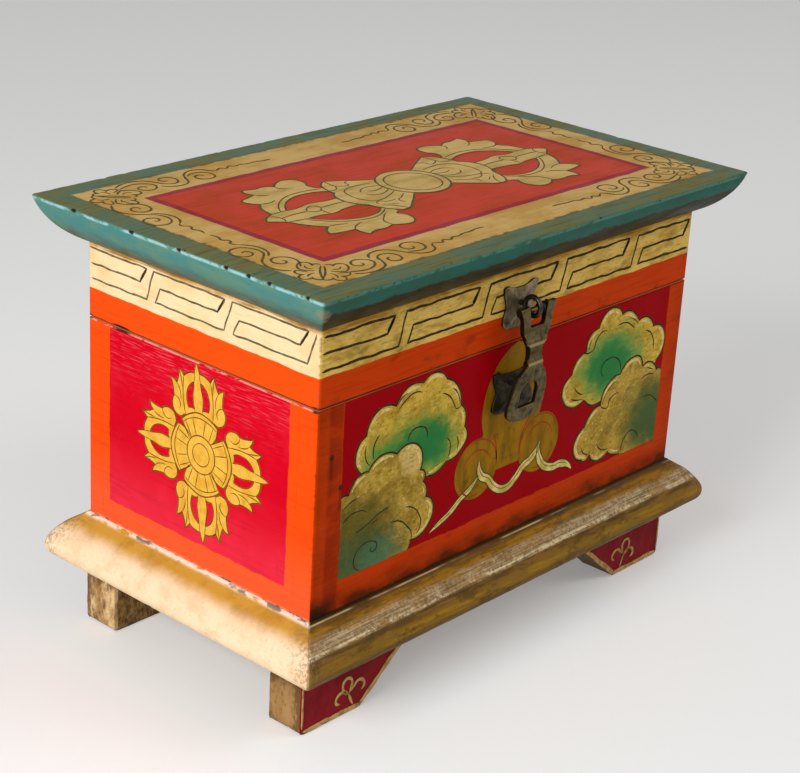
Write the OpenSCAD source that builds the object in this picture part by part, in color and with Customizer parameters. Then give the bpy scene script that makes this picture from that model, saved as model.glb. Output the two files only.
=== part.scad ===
// Painted wooden chest with a hinged lid, a moulded plinth, four bracket feet
// and a brass link hasp. Millimetres, Z up. X runs along the front, the front
// faces -Y, and the origin lies on the floor under the middle of the chest.

/* [Body] */
// Width of the four boards, outside
body_w = 220; // [180:1:280]
// Depth of the four boards, outside
body_d = 123; // [100:1:170]
// Height of the four boards
body_h = 82.1; // [65:0.1:110]
// Thickness of the body boards and the lid rails
board_t = 9; // [7:0.5:12]
// Thickness of the bottom board
bottom_t = 6; // [4:0.5:8]
// Radius of the upright outside corners
corner_r = 1.5; // [0.5:0.25:3]
// Chamfer along the edges at the parting line
edge_c = 0.6; // [0.3:0.1:1]
// Gap left all round the bottom board
bottom_gap = 0.1; // [0.05:0.05:0.3]

/* [Plinth] */
// Height of the plinth moulding
plinth_h = 20.8; // [16:0.2:26]
// How far the rounded nose stands out from the boards
plinth_out = 13; // [10:0.5:18]
// How far the moulding runs inside the boards, as a ledge for the bottom board
plinth_ledge = 8; // [5:0.5:12]
// Height of the middle of the nose above the underside
nose_up = 6.4; // [5.5:0.1:8]
// Height left under the round of the nose
nose_lift = 0.6; // [0.3:0.1:1]
// Angle above the horizontal at which the round of the nose ends
nose_turn = 50; // [40:1:60]
// Break in the shoulder: distance out from the boards
shoulder_out = 8; // [6:0.5:9]
// Break in the shoulder: height above the underside
shoulder_up = 16; // [14:0.2:18]

/* [Feet] */
// Height of the bracket feet
foot_h = 26.6; // [18:0.2:40]
// Thickness of a foot, front to back
foot_t = 17; // [12:0.5:24]
// Length of a foot on the floor
foot_len = 32.5; // [24:0.5:40]
// Run of the slanted inner end of a foot
foot_slant = 31; // [10:1:36]
// How far the feet stand out past the ends of the boards
foot_out = 2; // [0:0.1:4]
// Set-back of the feet from the front and back faces of the boards
foot_inset = 0.6; // [0:0.1:3]
// Radius of the dowels in the feet
dowel_r = 2.5; // [1.5:0.25:3.5]
// Length of a dowel
dowel_len = 22; // [14:1:26]
// Clearance round a dowel
dowel_gap = 0.05; // [0.02:0.01:0.1]

/* [Lid] */
// Crack between the body and the lid
lid_gap = 0.5; // [0.3:0.1:1]
// Height of the lid rails
rail_h = 29.8; // [26:0.1:40]
// Thickness of the top slab
slab_t = 17.5; // [12:0.5:24]
// Overhang of the slab past the rails
slab_over = 15; // [9:0.5:20]
// Radius of the curve under the slab's edge
ovolo_r = 25.6; // [20:0.2:40]
// Flat left between the rails and the start of that curve
ovolo_step = 0.4; // [0.2:0.1:1]

/* [Hinges] */
// Distance of the middle of each hinge from the end of the chest
hinge_inset = 44; // [30:1:60]
// Length of a hinge along the lid
hinge_len = 27; // [22:0.5:36]
// Height of a hinge leaf above or below the pin
leaf_h = 14; // [11:0.5:18]
// Thickness of a hinge leaf
leaf_t = 1; // [0.6:0.1:1.4]
// Outside radius of the knuckles
knuckle_r = 2.2; // [2:0.1:3]
// Radius of the hinge pin
pin_r = 1.1; // [0.8:0.1:1.3]
// Running clearance round the hinge pin
pin_gap = 0.05; // [0.03:0.01:0.08]
// Gap between neighbouring knuckles, and round them
knuckle_gap = 0.2; // [0.15:0.05:0.4]
// Gap between the knuckles and the back of the chest
knuckle_back = 0.15; // [0.1:0.05:0.3]
// Domed part of the pin that shows at each end
pin_end = 0.7; // [0.4:0.1:1.2]

/* [Screws] */
// Radius of a hinge screw's shank
screw_r = 0.8; // [0.6:0.1:1]
// Radius of a hinge screw's head
screw_head_r = 1.6; // [1.3:0.1:1.9]
// Height of a hinge screw's head
screw_head_h = 0.7; // [0.5:0.1:1]
// Length of the shank in the wood
screw_len = 6; // [4:0.5:6.5]
// Distance of each screw from the middle of its hinge
screw_x = 8.5; // [6:0.5:9]
// Clearance round screws, wire legs and shanks in their holes
shank_gap = 0.04; // [0.02:0.01:0.08]

/* [Hasp ring and plates] */
// Place of the hasp along the front
hasp_x = -3; // [-20:1:20]
// Height of the ring above the lid's lower edge
ring_up = 15.7; // [13:0.1:17]
// Distance of the ring's middle from the rail
ring_out = 7; // [6.4:0.1:8]
// Radius of the ring to the middle of its wire
ring_r = 3.7; // [3.4:0.1:4.2]
// Radius of the ring's wire
ring_wire = 1; // [0.8:0.05:1.1]
// Length of the ring's shank and the staple's legs in the wood
shank_in = 6.5; // [4:0.5:6.5]
// Thickness of the two plates
plate_t = 1; // [0.6:0.1:1.3]
// Width of the upper plate
upper_plate_w = 19.6; // [16:0.2:24]
// Height of the upper plate
upper_plate_h = 18.6; // [15:0.2:22]
// Drop of the upper plate's middle below the ring's
upper_plate_drop = 0.7; // [0:0.1:1.5]
// Width of the lower plate
lower_plate_w = 25; // [20:0.5:28]
// Height of the lower plate
lower_plate_h = 18.6; // [15:0.2:22]

/* [Hasp link] */
// Radius of the bar that hangs in the ring
bar_r = 1.15; // [0.9:0.05:1.3]
// Clearance between the bar and the ring
bar_gap = 0.05; // [0.03:0.01:0.08]
// Clearance between the ring and the floor of the notch
notch_clear = 0.4; // [0.2:0.1:0.8]
// Metal round the bar where it enters the horns
lug_wall = 1.15; // [0.8:0.05:1.4]
// Width of each horn round the bar
lug_w = 2.6; // [2:0.1:3]
// Thickness of the upper half of the link
crown_t = 2.4; // [1.8:0.1:2.6]
// Distance from the bar out to the face of the upper half
crown_face = 3.3; // [3:0.1:3.6]
// Width of the notch between the horns
notch_w = 8.8; // [7:0.2:9.4]
// Spread of the horns, tip to tip
horn_w = 22; // [19:0.5:25]
// Height of the horn tips above the bar
horn_up = 3.6; // [2.5:0.1:4.2]
// Length of the upper half below the bar
crown_len = 21.2; // [20:0.2:24]
// Width of the narrow waist
waist_w = 9.6; // [8:0.2:11]
// Length of the lower half
lobe_len = 24.3; // [22:0.2:27]
// Width of the lower half
lobe_w = 21.6; // [18:0.2:24]
// Thickness of the lower half
lobe_t = 1.7; // [1.4:0.1:2]
// Lean of the lower half towards the chest
lobe_lean = 9; // [6:0.5:10]
// Width of the slot in the lower half
slot_w = 10.4; // [9:0.2:11.4]
// Height of the slot
slot_h = 11; // [9.5:0.1:12]
// Middle of the slot below the start of the lower half
slot_down = 12.6; // [12:0.1:13.4]

/* [Staple] */
// Width of the staple over its wire
staple_w = 7.4; // [5.4:0.2:8]
// Radius of the staple's wire
staple_wire = 0.7; // [0.5:0.05:0.9]
// Clearance left between the hanging link and the staple
staple_clear = 0.2; // [0.1:0.05:0.5]
// Height of the staple above the middle of the slot
staple_raise = 3.2; // [2:0.1:3.4]

/* [Hidden] */
$fn = 48;
eps = 0.01;
left = -1;
right = 1;
front = -1;
back = 1;

// Heights of the storeys
z_plinth = foot_h;
z_body = z_plinth + plinth_h;
z_part = z_body + body_h;
z_rail = z_part + lid_gap;
z_slab = z_rail + rail_h;

// Hinge axis
hinge_x = body_w / 2 - hinge_inset;
hinge_y = body_d / 2 + knuckle_r + knuckle_back;
hinge_z = z_part + lid_gap / 2;
knuckle_len = (hinge_len - 2 * knuckle_gap) / 3;
screw_z = (leaf_h + knuckle_r) / 2;

// Ring, bar and staple
front_y = -body_d / 2;
ring_y = front_y - ring_out;
ring_z = z_rail + ring_up;
bar_z = ring_z - (ring_r - ring_wire - bar_r - bar_gap);
notch_deep = norm([ring_r + ring_wire, ring_z - bar_z]) + notch_clear;
lug_r = bar_r + lug_wall;
lobe_top_z = bar_z - crown_len;
slot_z = lobe_top_z - slot_down * cos(lobe_lean);
staple_z = slot_z + staple_raise;
link_face_out = ring_out + crown_face - lean_in(lobe_top_z - staple_z);
staple_out = link_face_out - lobe_t / cos(lobe_lean) - staple_clear;
staple_bend = staple_w / 2 - staple_wire;

// How far the lower half has leant in, a given height below its start
function lean_in(drop) = drop * tan(lobe_lean);

// Points of a cubic Bezier curve without its last point
function bezier(a, b, c, d, steps = 8) = [for (i = [0:steps - 1]) let (t = i / steps, s = 1 - t)
    s * s * s * a + 3 * s * s * t * b + 3 * s * t * t * c + t * t * t * d];

// An outline closed by its own mirror image in the Y axis
function mirrored(points) = concat(points, [for (i = [len(points) - 1:-1:0])
    if (points[i][0] > eps) [-points[i][0], points[i][1]]]);

// ---- Shapes that repeat ----

// Rectangle with round corners, made of true circles
module round_rect(w, d, r) {
    square([w - 2 * r, d], center = true);
    square([w, d - 2 * r], center = true);
    for (x = [-1, 1], y = [-1, 1])
        translate([x * (w / 2 - r), y * (d / 2 - r)]) circle(r);
}

// Solid whose outline, seen along both X and Y, is the profile children(0) and children(1)
module moulded_block(w, d) {
    intersection() {
        rotate([90, 0, 0]) linear_extrude(d + 2, center = true) children(0);
        rotate([90, 0, 90]) linear_extrude(w + 2, center = true) children(1);
    }
}

// Upright rectangle with chamfers on its lower or upper corners
module chamfered_profile(w, h, low_c, top_c) {
    polygon([[-w / 2 + low_c, 0], [w / 2 - low_c, 0], [w / 2, low_c], [w / 2, h - top_c],
        [w / 2 - top_c, h], [-w / 2 + top_c, h], [-w / 2, h - top_c], [-w / 2, low_c]]);
}

// Block with the outside form of the body or of the lid rails
module carcase(h, low_c, top_c) {
    intersection() {
        moulded_block(body_w, body_d) {
            chamfered_profile(body_w, h, low_c, top_c);
            chamfered_profile(body_d, h, low_c, top_c);
        }
        linear_extrude(h) round_rect(body_w, body_d, corner_r);
    }
}

// Full-width board along the front or the back
module long_board(h, low_c, top_c, side) {
    intersection() {
        carcase(h, low_c, top_c);
        translate([-body_w / 2 - 1, side < 0 ? -body_d / 2 - 1 : body_d / 2 - board_t, -1])
            cube([body_w + 2, board_t + 1, h + 2]);
    }
}

// End board that fits between the long ones
module end_board(h, low_c, top_c, side) {
    intersection() {
        carcase(h, low_c, top_c);
        translate([side < 0 ? -body_w / 2 - 1 : body_w / 2 - board_t, -body_d / 2 + board_t, -1])
            cube([board_t + 1, body_d - 2 * board_t, h + 2]);
    }
}

// ---- Body ----

module front_board() {
    color("crimson") difference() {
        translate([0, 0, z_body]) long_board(body_h, 0, edge_c, front);
        for (x = [-1, 1]) staple_leg(x, staple_wire + shank_gap, shank_in + shank_gap);
    }
}

module back_board() {
    color("orangered") difference() {
        translate([0, 0, z_body]) long_board(body_h, 0, edge_c, back);
        hinge_screw_places(-1) screw_hole();
    }
}

module left_board() {
    color("crimson") translate([0, 0, z_body]) end_board(body_h, 0, edge_c, left);
}

module right_board() {
    color("crimson") translate([0, 0, z_body]) end_board(body_h, 0, edge_c, right);
}

module bottom_board() {
    color("peru") translate([0, 0, z_body]) linear_extrude(bottom_t)
        square([body_w - 2 * (board_t + bottom_gap), body_d - 2 * (board_t + bottom_gap)],
            center = true);
}

// ---- Plinth ----

// Cross-section of the moulding: flat underside, sloping shoulder and round nose.
// X runs outwards from the face of the boards
module plinth_profile() {
    nose_r = nose_up - nose_lift;
    nose_x = plinth_out - nose_r;
    inner = board_t + plinth_ledge;
    polygon([[-inner, 0], [nose_x + 1, 0], [nose_x, nose_up],
        [nose_x + nose_r * cos(nose_turn), nose_up + nose_r * sin(nose_turn)],
        [shoulder_out, shoulder_up], [0, plinth_h], [-inner, plinth_h]]);
    translate([nose_x, nose_up]) circle(nose_r);
}

// Mitred moulding along one side: 0 front, 1 right, 2 back, 3 left
module plinth_side(side) {
    half_depth = (side % 2 == 0 ? body_d : body_w) / 2;
    half_run = (side % 2 == 0 ? body_w : body_d) / 2 + plinth_out;
    past = 1;
    cut_in = plinth_out + board_t + plinth_ledge + 2 * past;
    corner = [half_run + past, -half_depth - plinth_out - past];
    rotate(side * 90) translate([0, 0, z_plinth]) intersection() {
        translate([0, -half_depth, 0]) rotate([90, 0, -90])
            linear_extrude(2 * half_run, center = true) plinth_profile();
        translate([0, 0, -past]) linear_extrude(plinth_h + 2 * past)
            polygon([[-corner[0], corner[1]], corner, corner + [-cut_in, cut_in],
                [-corner[0] + cut_in, corner[1] + cut_in]]);
    }
}

module plinth_piece(side) {
    difference() {
        plinth_side(side);
        dowel_places() dowel(dowel_gap);
    }
}

module plinth_front() { color("goldenrod") plinth_piece(0); }
module plinth_right() { color("goldenrod") plinth_piece(1); }
module plinth_back() { color("goldenrod") plinth_piece(2); }
module plinth_left() { color("goldenrod") plinth_piece(3); }

// ---- Feet ----

// Outer corner of a foot, measured from the middle of the chest
foot_x = body_w / 2 + foot_out;
foot_y = body_d / 2 - foot_inset;

module foot(side_x, side_y) {
    difference() {
        in_corner(side_x, side_y) translate([foot_x, foot_y, 0])
            rotate([90, 0, 0]) linear_extrude(foot_t)
                polygon([[0, 0], [0, foot_h], [-foot_len - foot_slant, foot_h],
                    [-foot_len, 0]]);
        dowel_places() dowel(dowel_gap);
    }
}

// Mirrors the right back corner into another corner
module in_corner(side_x, side_y) {
    mirror([side_x < 0 ? 1 : 0, 0, 0]) mirror([0, side_y < 0 ? 1 : 0, 0]) children();
}

// Two dowels stand in each foot, under the middle of the long mouldings
dowel_x = [foot_x - foot_len * 0.45, foot_x - foot_len - foot_slant * 0.25];
dowel_y = foot_y - foot_t / 2;

module dowel_places() {
    for (sx = [-1, 1], sy = [-1, 1], x = dowel_x)
        translate([sx * x, sy * dowel_y, z_plinth - dowel_len / 2]) children();
}

module dowel(gap) {
    translate([0, 0, -gap]) cylinder(h = dowel_len + 2 * gap, r = dowel_r + gap);
}

module foot_front_left() { color("firebrick") foot(left, front); }
module foot_front_right() { color("firebrick") foot(right, front); }
module foot_back_left() { color("firebrick") foot(left, back); }
module foot_back_right() { color("firebrick") foot(right, back); }
module foot_dowels() { color("burlywood") dowel_places() dowel(0); }

// ---- Lid ----

// Cross-section of the slab: square top edges over a gently curved underside
module slab_profile(w) {
    reach = w / 2 + slab_over;
    start = w / 2 + ovolo_step;
    chord = [slab_over - ovolo_step, slab_t];
    half = norm(chord) / 2;
    sink = sqrt(ovolo_r * ovolo_r - half * half);
    normal = [-chord[1], chord[0]] / (2 * half);
    centre = [start, 0] + chord / 2 + sink * normal;
    intersection() {
        translate([-reach, 0]) square([2 * reach, slab_t]);
        ovolo_side(reach, centre);
        mirror([1, 0]) ovolo_side(reach, centre);
    }
}

// Everything inside the curve on the right side of the slab's cross-section
module ovolo_side(reach, centre) {
    translate(centre) circle(ovolo_r, $fn = 96);
    translate([-reach, 0]) square([reach + centre[0], slab_t]);
}

module lid_slab() {
    color("teal") translate([0, 0, z_slab]) moulded_block(body_w + 2 * slab_over,
        body_d + 2 * slab_over) {
        slab_profile(body_w);
        slab_profile(body_d);
    }
}

module lid_rail_front() {
    color("orangered") difference() {
        translate([0, 0, z_rail]) long_board(rail_h, edge_c, 0, front);
        ring_shank(ring_wire + shank_gap, shank_in + shank_gap);
    }
}

module lid_rail_back() {
    color("orangered") difference() {
        translate([0, 0, z_rail]) long_board(rail_h, edge_c, 0, back);
        hinge_screw_places(1) screw_hole();
    }
}

module lid_rail_left() {
    color("orangered") translate([0, 0, z_rail]) end_board(rail_h, edge_c, 0, left);
}

module lid_rail_right() {
    color("orangered") translate([0, 0, z_rail]) end_board(rail_h, edge_c, 0, right);
}

// ---- Hinges ----

// One knuckle as a cylinder along X from x0, about the hinge axis
module knuckle(x0, length, r) {
    translate([x0, hinge_y, hinge_z]) rotate([0, 90, 0]) cylinder(h = length, r = r);
}

// Flat part of a leaf between two places along X, on the back of the chest
module leaf_plate(x0, length, from, to, up) {
    translate([x0, body_d / 2, hinge_z + (up > 0 ? from : -to)])
        cube([length, leaf_t, to - from]);
}

// Leaf with its own knuckles; up is 1 for the lid's leaf and -1 for the body's
module hinge_leaf(side, up) {
    x0 = side * hinge_x - hinge_len / 2;
    pitch = knuckle_len + knuckle_gap;
    own = up > 0 ? [1] : [0, 2];
    color("darkgoldenrod") difference() {
        union() {
            leaf_plate(x0, hinge_len, knuckle_r + knuckle_gap, leaf_h, up);
            for (i = own) {
                knuckle(x0 + i * pitch, knuckle_len, knuckle_r);
                leaf_plate(x0 + i * pitch, knuckle_len, lid_gap, leaf_h, up);
            }
        }
        knuckle(x0 - 1, hinge_len + 2, pin_r + pin_gap);
        hinge_screw_places(up) translate([0, 0, -eps])
            cylinder(h = leaf_t + 1, r = screw_r + shank_gap);
    }
}

module hinge_pin(side) {
    x0 = side * hinge_x - hinge_len / 2 - pin_end;
    color("goldenrod") knuckle(x0, hinge_len + 2 * pin_end, pin_r);
}

// Places children at each screw, with Z pointing out of the back of the chest
module hinge_screw_places(up) {
    for (side = [-1, 1], x = [-1, 1])
        translate([side * hinge_x + x * screw_x, body_d / 2, hinge_z + up * screw_z])
            rotate([-90, 0, 0]) children();
}

module screw_hole() {
    translate([0, 0, -screw_len - shank_gap])
        cylinder(h = screw_len + shank_gap + eps, r = screw_r + shank_gap);
}

module screw() {
    slot_cut = screw_head_h * 0.45;
    difference() {
        union() {
            translate([0, 0, -screw_len]) cylinder(h = screw_len + leaf_t + eps, r = screw_r);
            translate([0, 0, leaf_t]) cylinder(h = screw_head_h, r = screw_head_r);
        }
        translate([-screw_head_r - 1, -screw_head_r * 0.12, leaf_t + screw_head_h - slot_cut])
            cube([2 * screw_head_r + 2, screw_head_r * 0.24, slot_cut + 1]);
    }
}

module hinge_body_leaf_left() { hinge_leaf(left, -1); }
module hinge_body_leaf_right() { hinge_leaf(right, -1); }
module hinge_lid_leaf_left() { hinge_leaf(left, 1); }
module hinge_lid_leaf_right() { hinge_leaf(right, 1); }
module hinge_pin_left() { hinge_pin(left); }
module hinge_pin_right() { hinge_pin(right); }
module body_hinge_screws() { color("goldenrod") hinge_screw_places(-1) screw(); }
module lid_hinge_screws() { color("goldenrod") hinge_screw_places(1) screw(); }

// ---- Hasp ----

// Four-horned plate lying on the front, its middle at height z
module horned_plate(w, h, z) {
    half = concat(
        bezier([0, h * 0.37], [w * 0.14, h * 0.36], [w * 0.3, h * 0.38], [w * 0.4, h * 0.5]),
        bezier([w * 0.5, h * 0.44], [w * 0.5, h * 0.25], [w * 0.42, h * 0.12], [w * 0.4, 0]),
        bezier([w * 0.4, 0], [w * 0.42, -h * 0.12], [w * 0.5, -h * 0.2], [w * 0.48, -h * 0.38]),
        bezier([w * 0.48, -h * 0.38], [w * 0.4, -h * 0.52], [w * 0.15, -h * 0.46],
            [0, -h * 0.5]),
        [[0, -h * 0.5]]);
    translate([hasp_x, front_y, z]) rotate([90, 0, 0]) linear_extrude(plate_t)
        polygon(mirrored(half));
}

// Leg of the staple, from inside the wood to the start of its bend
module staple_leg(x, r, depth) {
    translate([hasp_x + x * staple_bend, front_y + depth, staple_z]) rotate([90, 0, 0])
        cylinder(h = depth + staple_out - staple_bend - staple_wire, r = r);
}

module staple_plate() {
    color("darkkhaki") difference() {
        horned_plate(lower_plate_w, lower_plate_h, staple_z - staple_raise);
        for (x = [-1, 1]) staple_leg(x, staple_wire + shank_gap, 1);
    }
}

module hasp_staple() {
    bend_y = front_y - (staple_out - staple_bend - staple_wire);
    color("gray") union() {
        for (x = [-1, 1]) staple_leg(x, staple_wire, shank_in);
        intersection() {
            translate([hasp_x, bend_y, staple_z]) rotate_extrude()
                translate([staple_bend, 0]) circle(staple_wire);
            translate([hasp_x - staple_w, bend_y - staple_w, staple_z - staple_w])
                cube([2 * staple_w, staple_w, 2 * staple_w]);
        }
    }
}

module ring_shank(r, depth) {
    translate([hasp_x, front_y + depth, ring_z]) rotate([90, 0, 0])
        cylinder(h = depth + ring_out - ring_r, r = r);
}

module ring_plate() {
    color("darkkhaki") difference() {
        horned_plate(upper_plate_w, upper_plate_h, ring_z - upper_plate_drop);
        ring_shank(ring_wire + shank_gap, 1);
    }
}

module hasp_ring() {
    color("dimgray") union() {
        ring_shank(ring_wire, shank_in);
        translate([hasp_x, ring_y, ring_z]) rotate([0, 90, 0]) rotate_extrude()
            translate([ring_r, 0]) circle(ring_wire);
    }
}

// Half outline of the upper half of the link: horn, block, waist. Origin at the bar
crown_outline = concat(
    [[0, -notch_deep], [notch_w / 2 - 0.8, -notch_deep]],
    bezier([notch_w / 2, -notch_deep + 0.8], [notch_w / 2, -2], [notch_w / 2 + 0.3, 1],
        [horn_w * 0.26, horn_up]),
    bezier([horn_w * 0.26, horn_up], [horn_w * 0.33, horn_up - 0.7],
        [horn_w * 0.4, horn_up - 0.8], [horn_w / 2, horn_up - 0.5], 4),
    bezier([horn_w / 2, horn_up - 0.5], [horn_w * 0.42, 0], [horn_w * 0.37, -2],
        [horn_w * 0.37, -notch_deep]),
    bezier([horn_w * 0.37, -notch_deep], [horn_w * 0.36, -crown_len * 0.36],
        [horn_w * 0.33, -crown_len * 0.42], [horn_w * 0.31, -crown_len * 0.52], 5),
    bezier([horn_w * 0.31, -crown_len * 0.52], [waist_w * 0.5, -crown_len * 0.62],
        [waist_w * 0.5, -crown_len * 0.8], [waist_w * 0.55, -crown_len - 0.6]),
    [[waist_w * 0.55, -crown_len - 0.6], [0, -crown_len - 0.6]]);

// Half outline of the lower half, a bell with a blunt tip. Origin at its start
lobe_outline = concat(
    [[0, 0.6], [waist_w * 0.55, 0.6]],
    bezier([waist_w * 0.55, 0], [lobe_w * 0.33, -lobe_len * 0.1],
        [lobe_w * 0.46, -lobe_len * 0.3], [lobe_w * 0.48, -lobe_len * 0.54], 10),
    bezier([lobe_w * 0.48, -lobe_len * 0.54], [lobe_w * 0.5, -lobe_len * 0.65],
        [lobe_w * 0.52, -lobe_len * 0.75], [lobe_w * 0.48, -lobe_len * 0.84]),
    bezier([lobe_w * 0.48, -lobe_len * 0.84], [lobe_w * 0.4, -lobe_len * 0.97],
        [lobe_w * 0.2, -lobe_len], [0, -lobe_len]),
    [[0, -lobe_len]]);

// Round bead across the link, its middle at height z below the bar
module bead(w, z, r) {
    translate([-w / 2, -crown_face + r * 0.6, z]) rotate([0, 90, 0]) cylinder(h = w, r = r);
    for (x = [-1, 1]) translate([x * w / 2, -crown_face + r * 0.6, z]) sphere(r);
}

module link_crown() {
    translate([0, -crown_face + crown_t, 0]) rotate([90, 0, 0]) linear_extrude(crown_t)
        polygon(mirrored(crown_outline));
    bead(horn_w * 0.58, -crown_len * 0.53, 1.3);
    bead(waist_w * 0.98, -crown_len * 0.9, 1.2);
    for (x = [-1, 1]) translate([x * (notch_w + lug_w) / 2 - lug_w / 2, 0, 0])
        rotate([0, 90, 0]) cylinder(h = lug_w, r = lug_r);
    translate([-notch_w / 2 - lug_w / 2, 0, 0]) rotate([0, 90, 0])
        cylinder(h = notch_w + lug_w, r = bar_r);
}

module link_lobe() {
    translate([0, -crown_face, -crown_len]) rotate([lobe_lean, 0, 0])
        translate([0, lobe_t, 0]) rotate([90, 0, 0]) difference() {
            linear_extrude(lobe_t) polygon(mirrored(lobe_outline));
            translate([0, -slot_down, -1]) linear_extrude(lobe_t + 2) slot_outline();
        }
}

// Slot with a round top and square lower corners
module slot_outline() {
    r = slot_w / 2;
    translate([0, slot_h / 2 - r]) circle(r);
    translate([-r, -slot_h / 2]) square([slot_w, slot_h - r]);
}

module hasp_link() {
    color("darkkhaki") translate([hasp_x, ring_y, bar_z]) union() {
        link_crown();
        link_lobe();
    }
}

front_board();
back_board();
left_board();
right_board();
bottom_board();
plinth_front();
plinth_back();
plinth_left();
plinth_right();
foot_front_left();
foot_front_right();
foot_back_left();
foot_back_right();
foot_dowels();
hinge_body_leaf_left();
hinge_body_leaf_right();
hinge_pin_left();
hinge_pin_right();
body_hinge_screws();
staple_plate();
hasp_staple();
lid_slab();
lid_rail_front();
lid_rail_back();
lid_rail_left();
lid_rail_right();
hinge_lid_leaf_left();
hinge_lid_leaf_right();
lid_hinge_screws();
ring_plate();
hasp_ring();
hasp_link();
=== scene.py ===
"""A small painted chest: its worn paint, its painted ornament, its moulded wood and its hasp.

Sizes in this script are millimetres, and the frame is the CAD model's own. A drawing on a
flat face has u to the right and v upwards, as seen from outside.
"""
import math

import bmesh
import bpy
from mathutils import Matrix, Vector, noise
from mathutils.geometry import tessellate_polygon


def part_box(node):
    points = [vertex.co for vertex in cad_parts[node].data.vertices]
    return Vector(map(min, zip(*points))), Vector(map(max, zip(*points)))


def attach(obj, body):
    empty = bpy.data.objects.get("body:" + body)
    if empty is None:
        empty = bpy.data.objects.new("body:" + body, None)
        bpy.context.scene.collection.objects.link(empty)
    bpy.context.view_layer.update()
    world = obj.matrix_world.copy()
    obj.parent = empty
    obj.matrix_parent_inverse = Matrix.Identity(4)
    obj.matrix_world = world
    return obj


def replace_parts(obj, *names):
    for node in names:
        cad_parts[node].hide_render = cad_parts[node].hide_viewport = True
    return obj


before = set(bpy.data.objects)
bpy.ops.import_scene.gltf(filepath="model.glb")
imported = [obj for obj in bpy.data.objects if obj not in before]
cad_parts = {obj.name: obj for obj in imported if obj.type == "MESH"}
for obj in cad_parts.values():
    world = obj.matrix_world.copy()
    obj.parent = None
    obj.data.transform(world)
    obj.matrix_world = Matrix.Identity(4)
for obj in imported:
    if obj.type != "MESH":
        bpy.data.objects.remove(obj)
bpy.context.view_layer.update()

MM = 0.001


# ---- Levels and faces, from the frame ----

def span(node):
    """Lowest and highest corner of a CAD node at rest."""
    return [[round(c / MM, 3) for c in corner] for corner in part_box(node)]


HALF_W = span("front_board")[1][0]
HALF_D = -span("front_board")[0][1]
Z_PLINTH = span("plinth_front")[0][2]
Z_BODY, Z_PART = (corner[2] for corner in span("front_board"))
Z_RAIL, Z_SLAB = (corner[2] for corner in span("lid_rail_front"))
SLAB_X, SLAB_Y, Z_TOP = span("lid_slab")[1]
FOOT_X, FOOT_Y = (-c for c in span("foot_front_left")[0][:2])
HASP_X = sum(corner[0] for corner in span("hasp_link")) / 2
SLOT_Z = sum(corner[2] for corner in span("staple_plate")) / 2
# Upper edge of the orange band round the rails, where the cream frieze starts
Z_BAND = Z_RAIL + 11.7

# Where the point (u, v) of a drawing lies at height h over its face
FACES = {
    "front": lambda u, v, h: (u, -HALF_D - h, v),
    "back": lambda u, v, h: (-u, HALF_D + h, v),
    "left": lambda u, v, h: (-HALF_W - h, -u, v),
    "right": lambda u, v, h: (HALF_W + h, u, v),
    "top": lambda u, v, h: (u, v, Z_TOP + h),
    "front_foot": lambda u, v, h: (u, -FOOT_Y - h, v),
    "back_foot": lambda u, v, h: (-u, FOOT_Y + h, v),
}


# ---- Node trees ----

def rgb(red, green, blue):
    """Linear colour of an sRGB one given from 0 to 255."""
    shares = (c / 255 for c in (red, green, blue))
    return (*(c / 12.92 if c <= 0.04045 else ((c + 0.055) / 1.055) ** 2.4 for c in shares), 1.0)


def maths(operation):
    """Method of a wire that puts it through a Math node with another wire or a number."""
    def method(self, other=0.0):
        return self.finish.node("Math", {0: self, 1: other}, operation=operation)
    return method


class Wire:
    """Output of a node that sums can be written with. over is the larger of two, under the smaller."""

    __add__, __sub__, __mul__ = maths("ADD"), maths("SUBTRACT"), maths("MULTIPLY")
    __abs__, over, under = maths("ABSOLUTE"), maths("MAXIMUM"), maths("MINIMUM")

    def __init__(self, finish, socket):
        self.finish = finish
        self.socket = socket

    def __rsub__(self, number):
        return self.finish.node("Math", {0: number, 1: self}, operation="SUBTRACT")

    def rise(self, start, end):
        """Smooth step from 0 at start to 1 at end, either way round."""
        return self.finish.node("MapRange", {0: self, 1: start, 2: end},
                                interpolation_type="SMOOTHSTEP")

    def within(self, low, high, soft=0.25):
        return self.rise(low - soft, low + soft) * self.rise(high + soft, high - soft)


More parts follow.
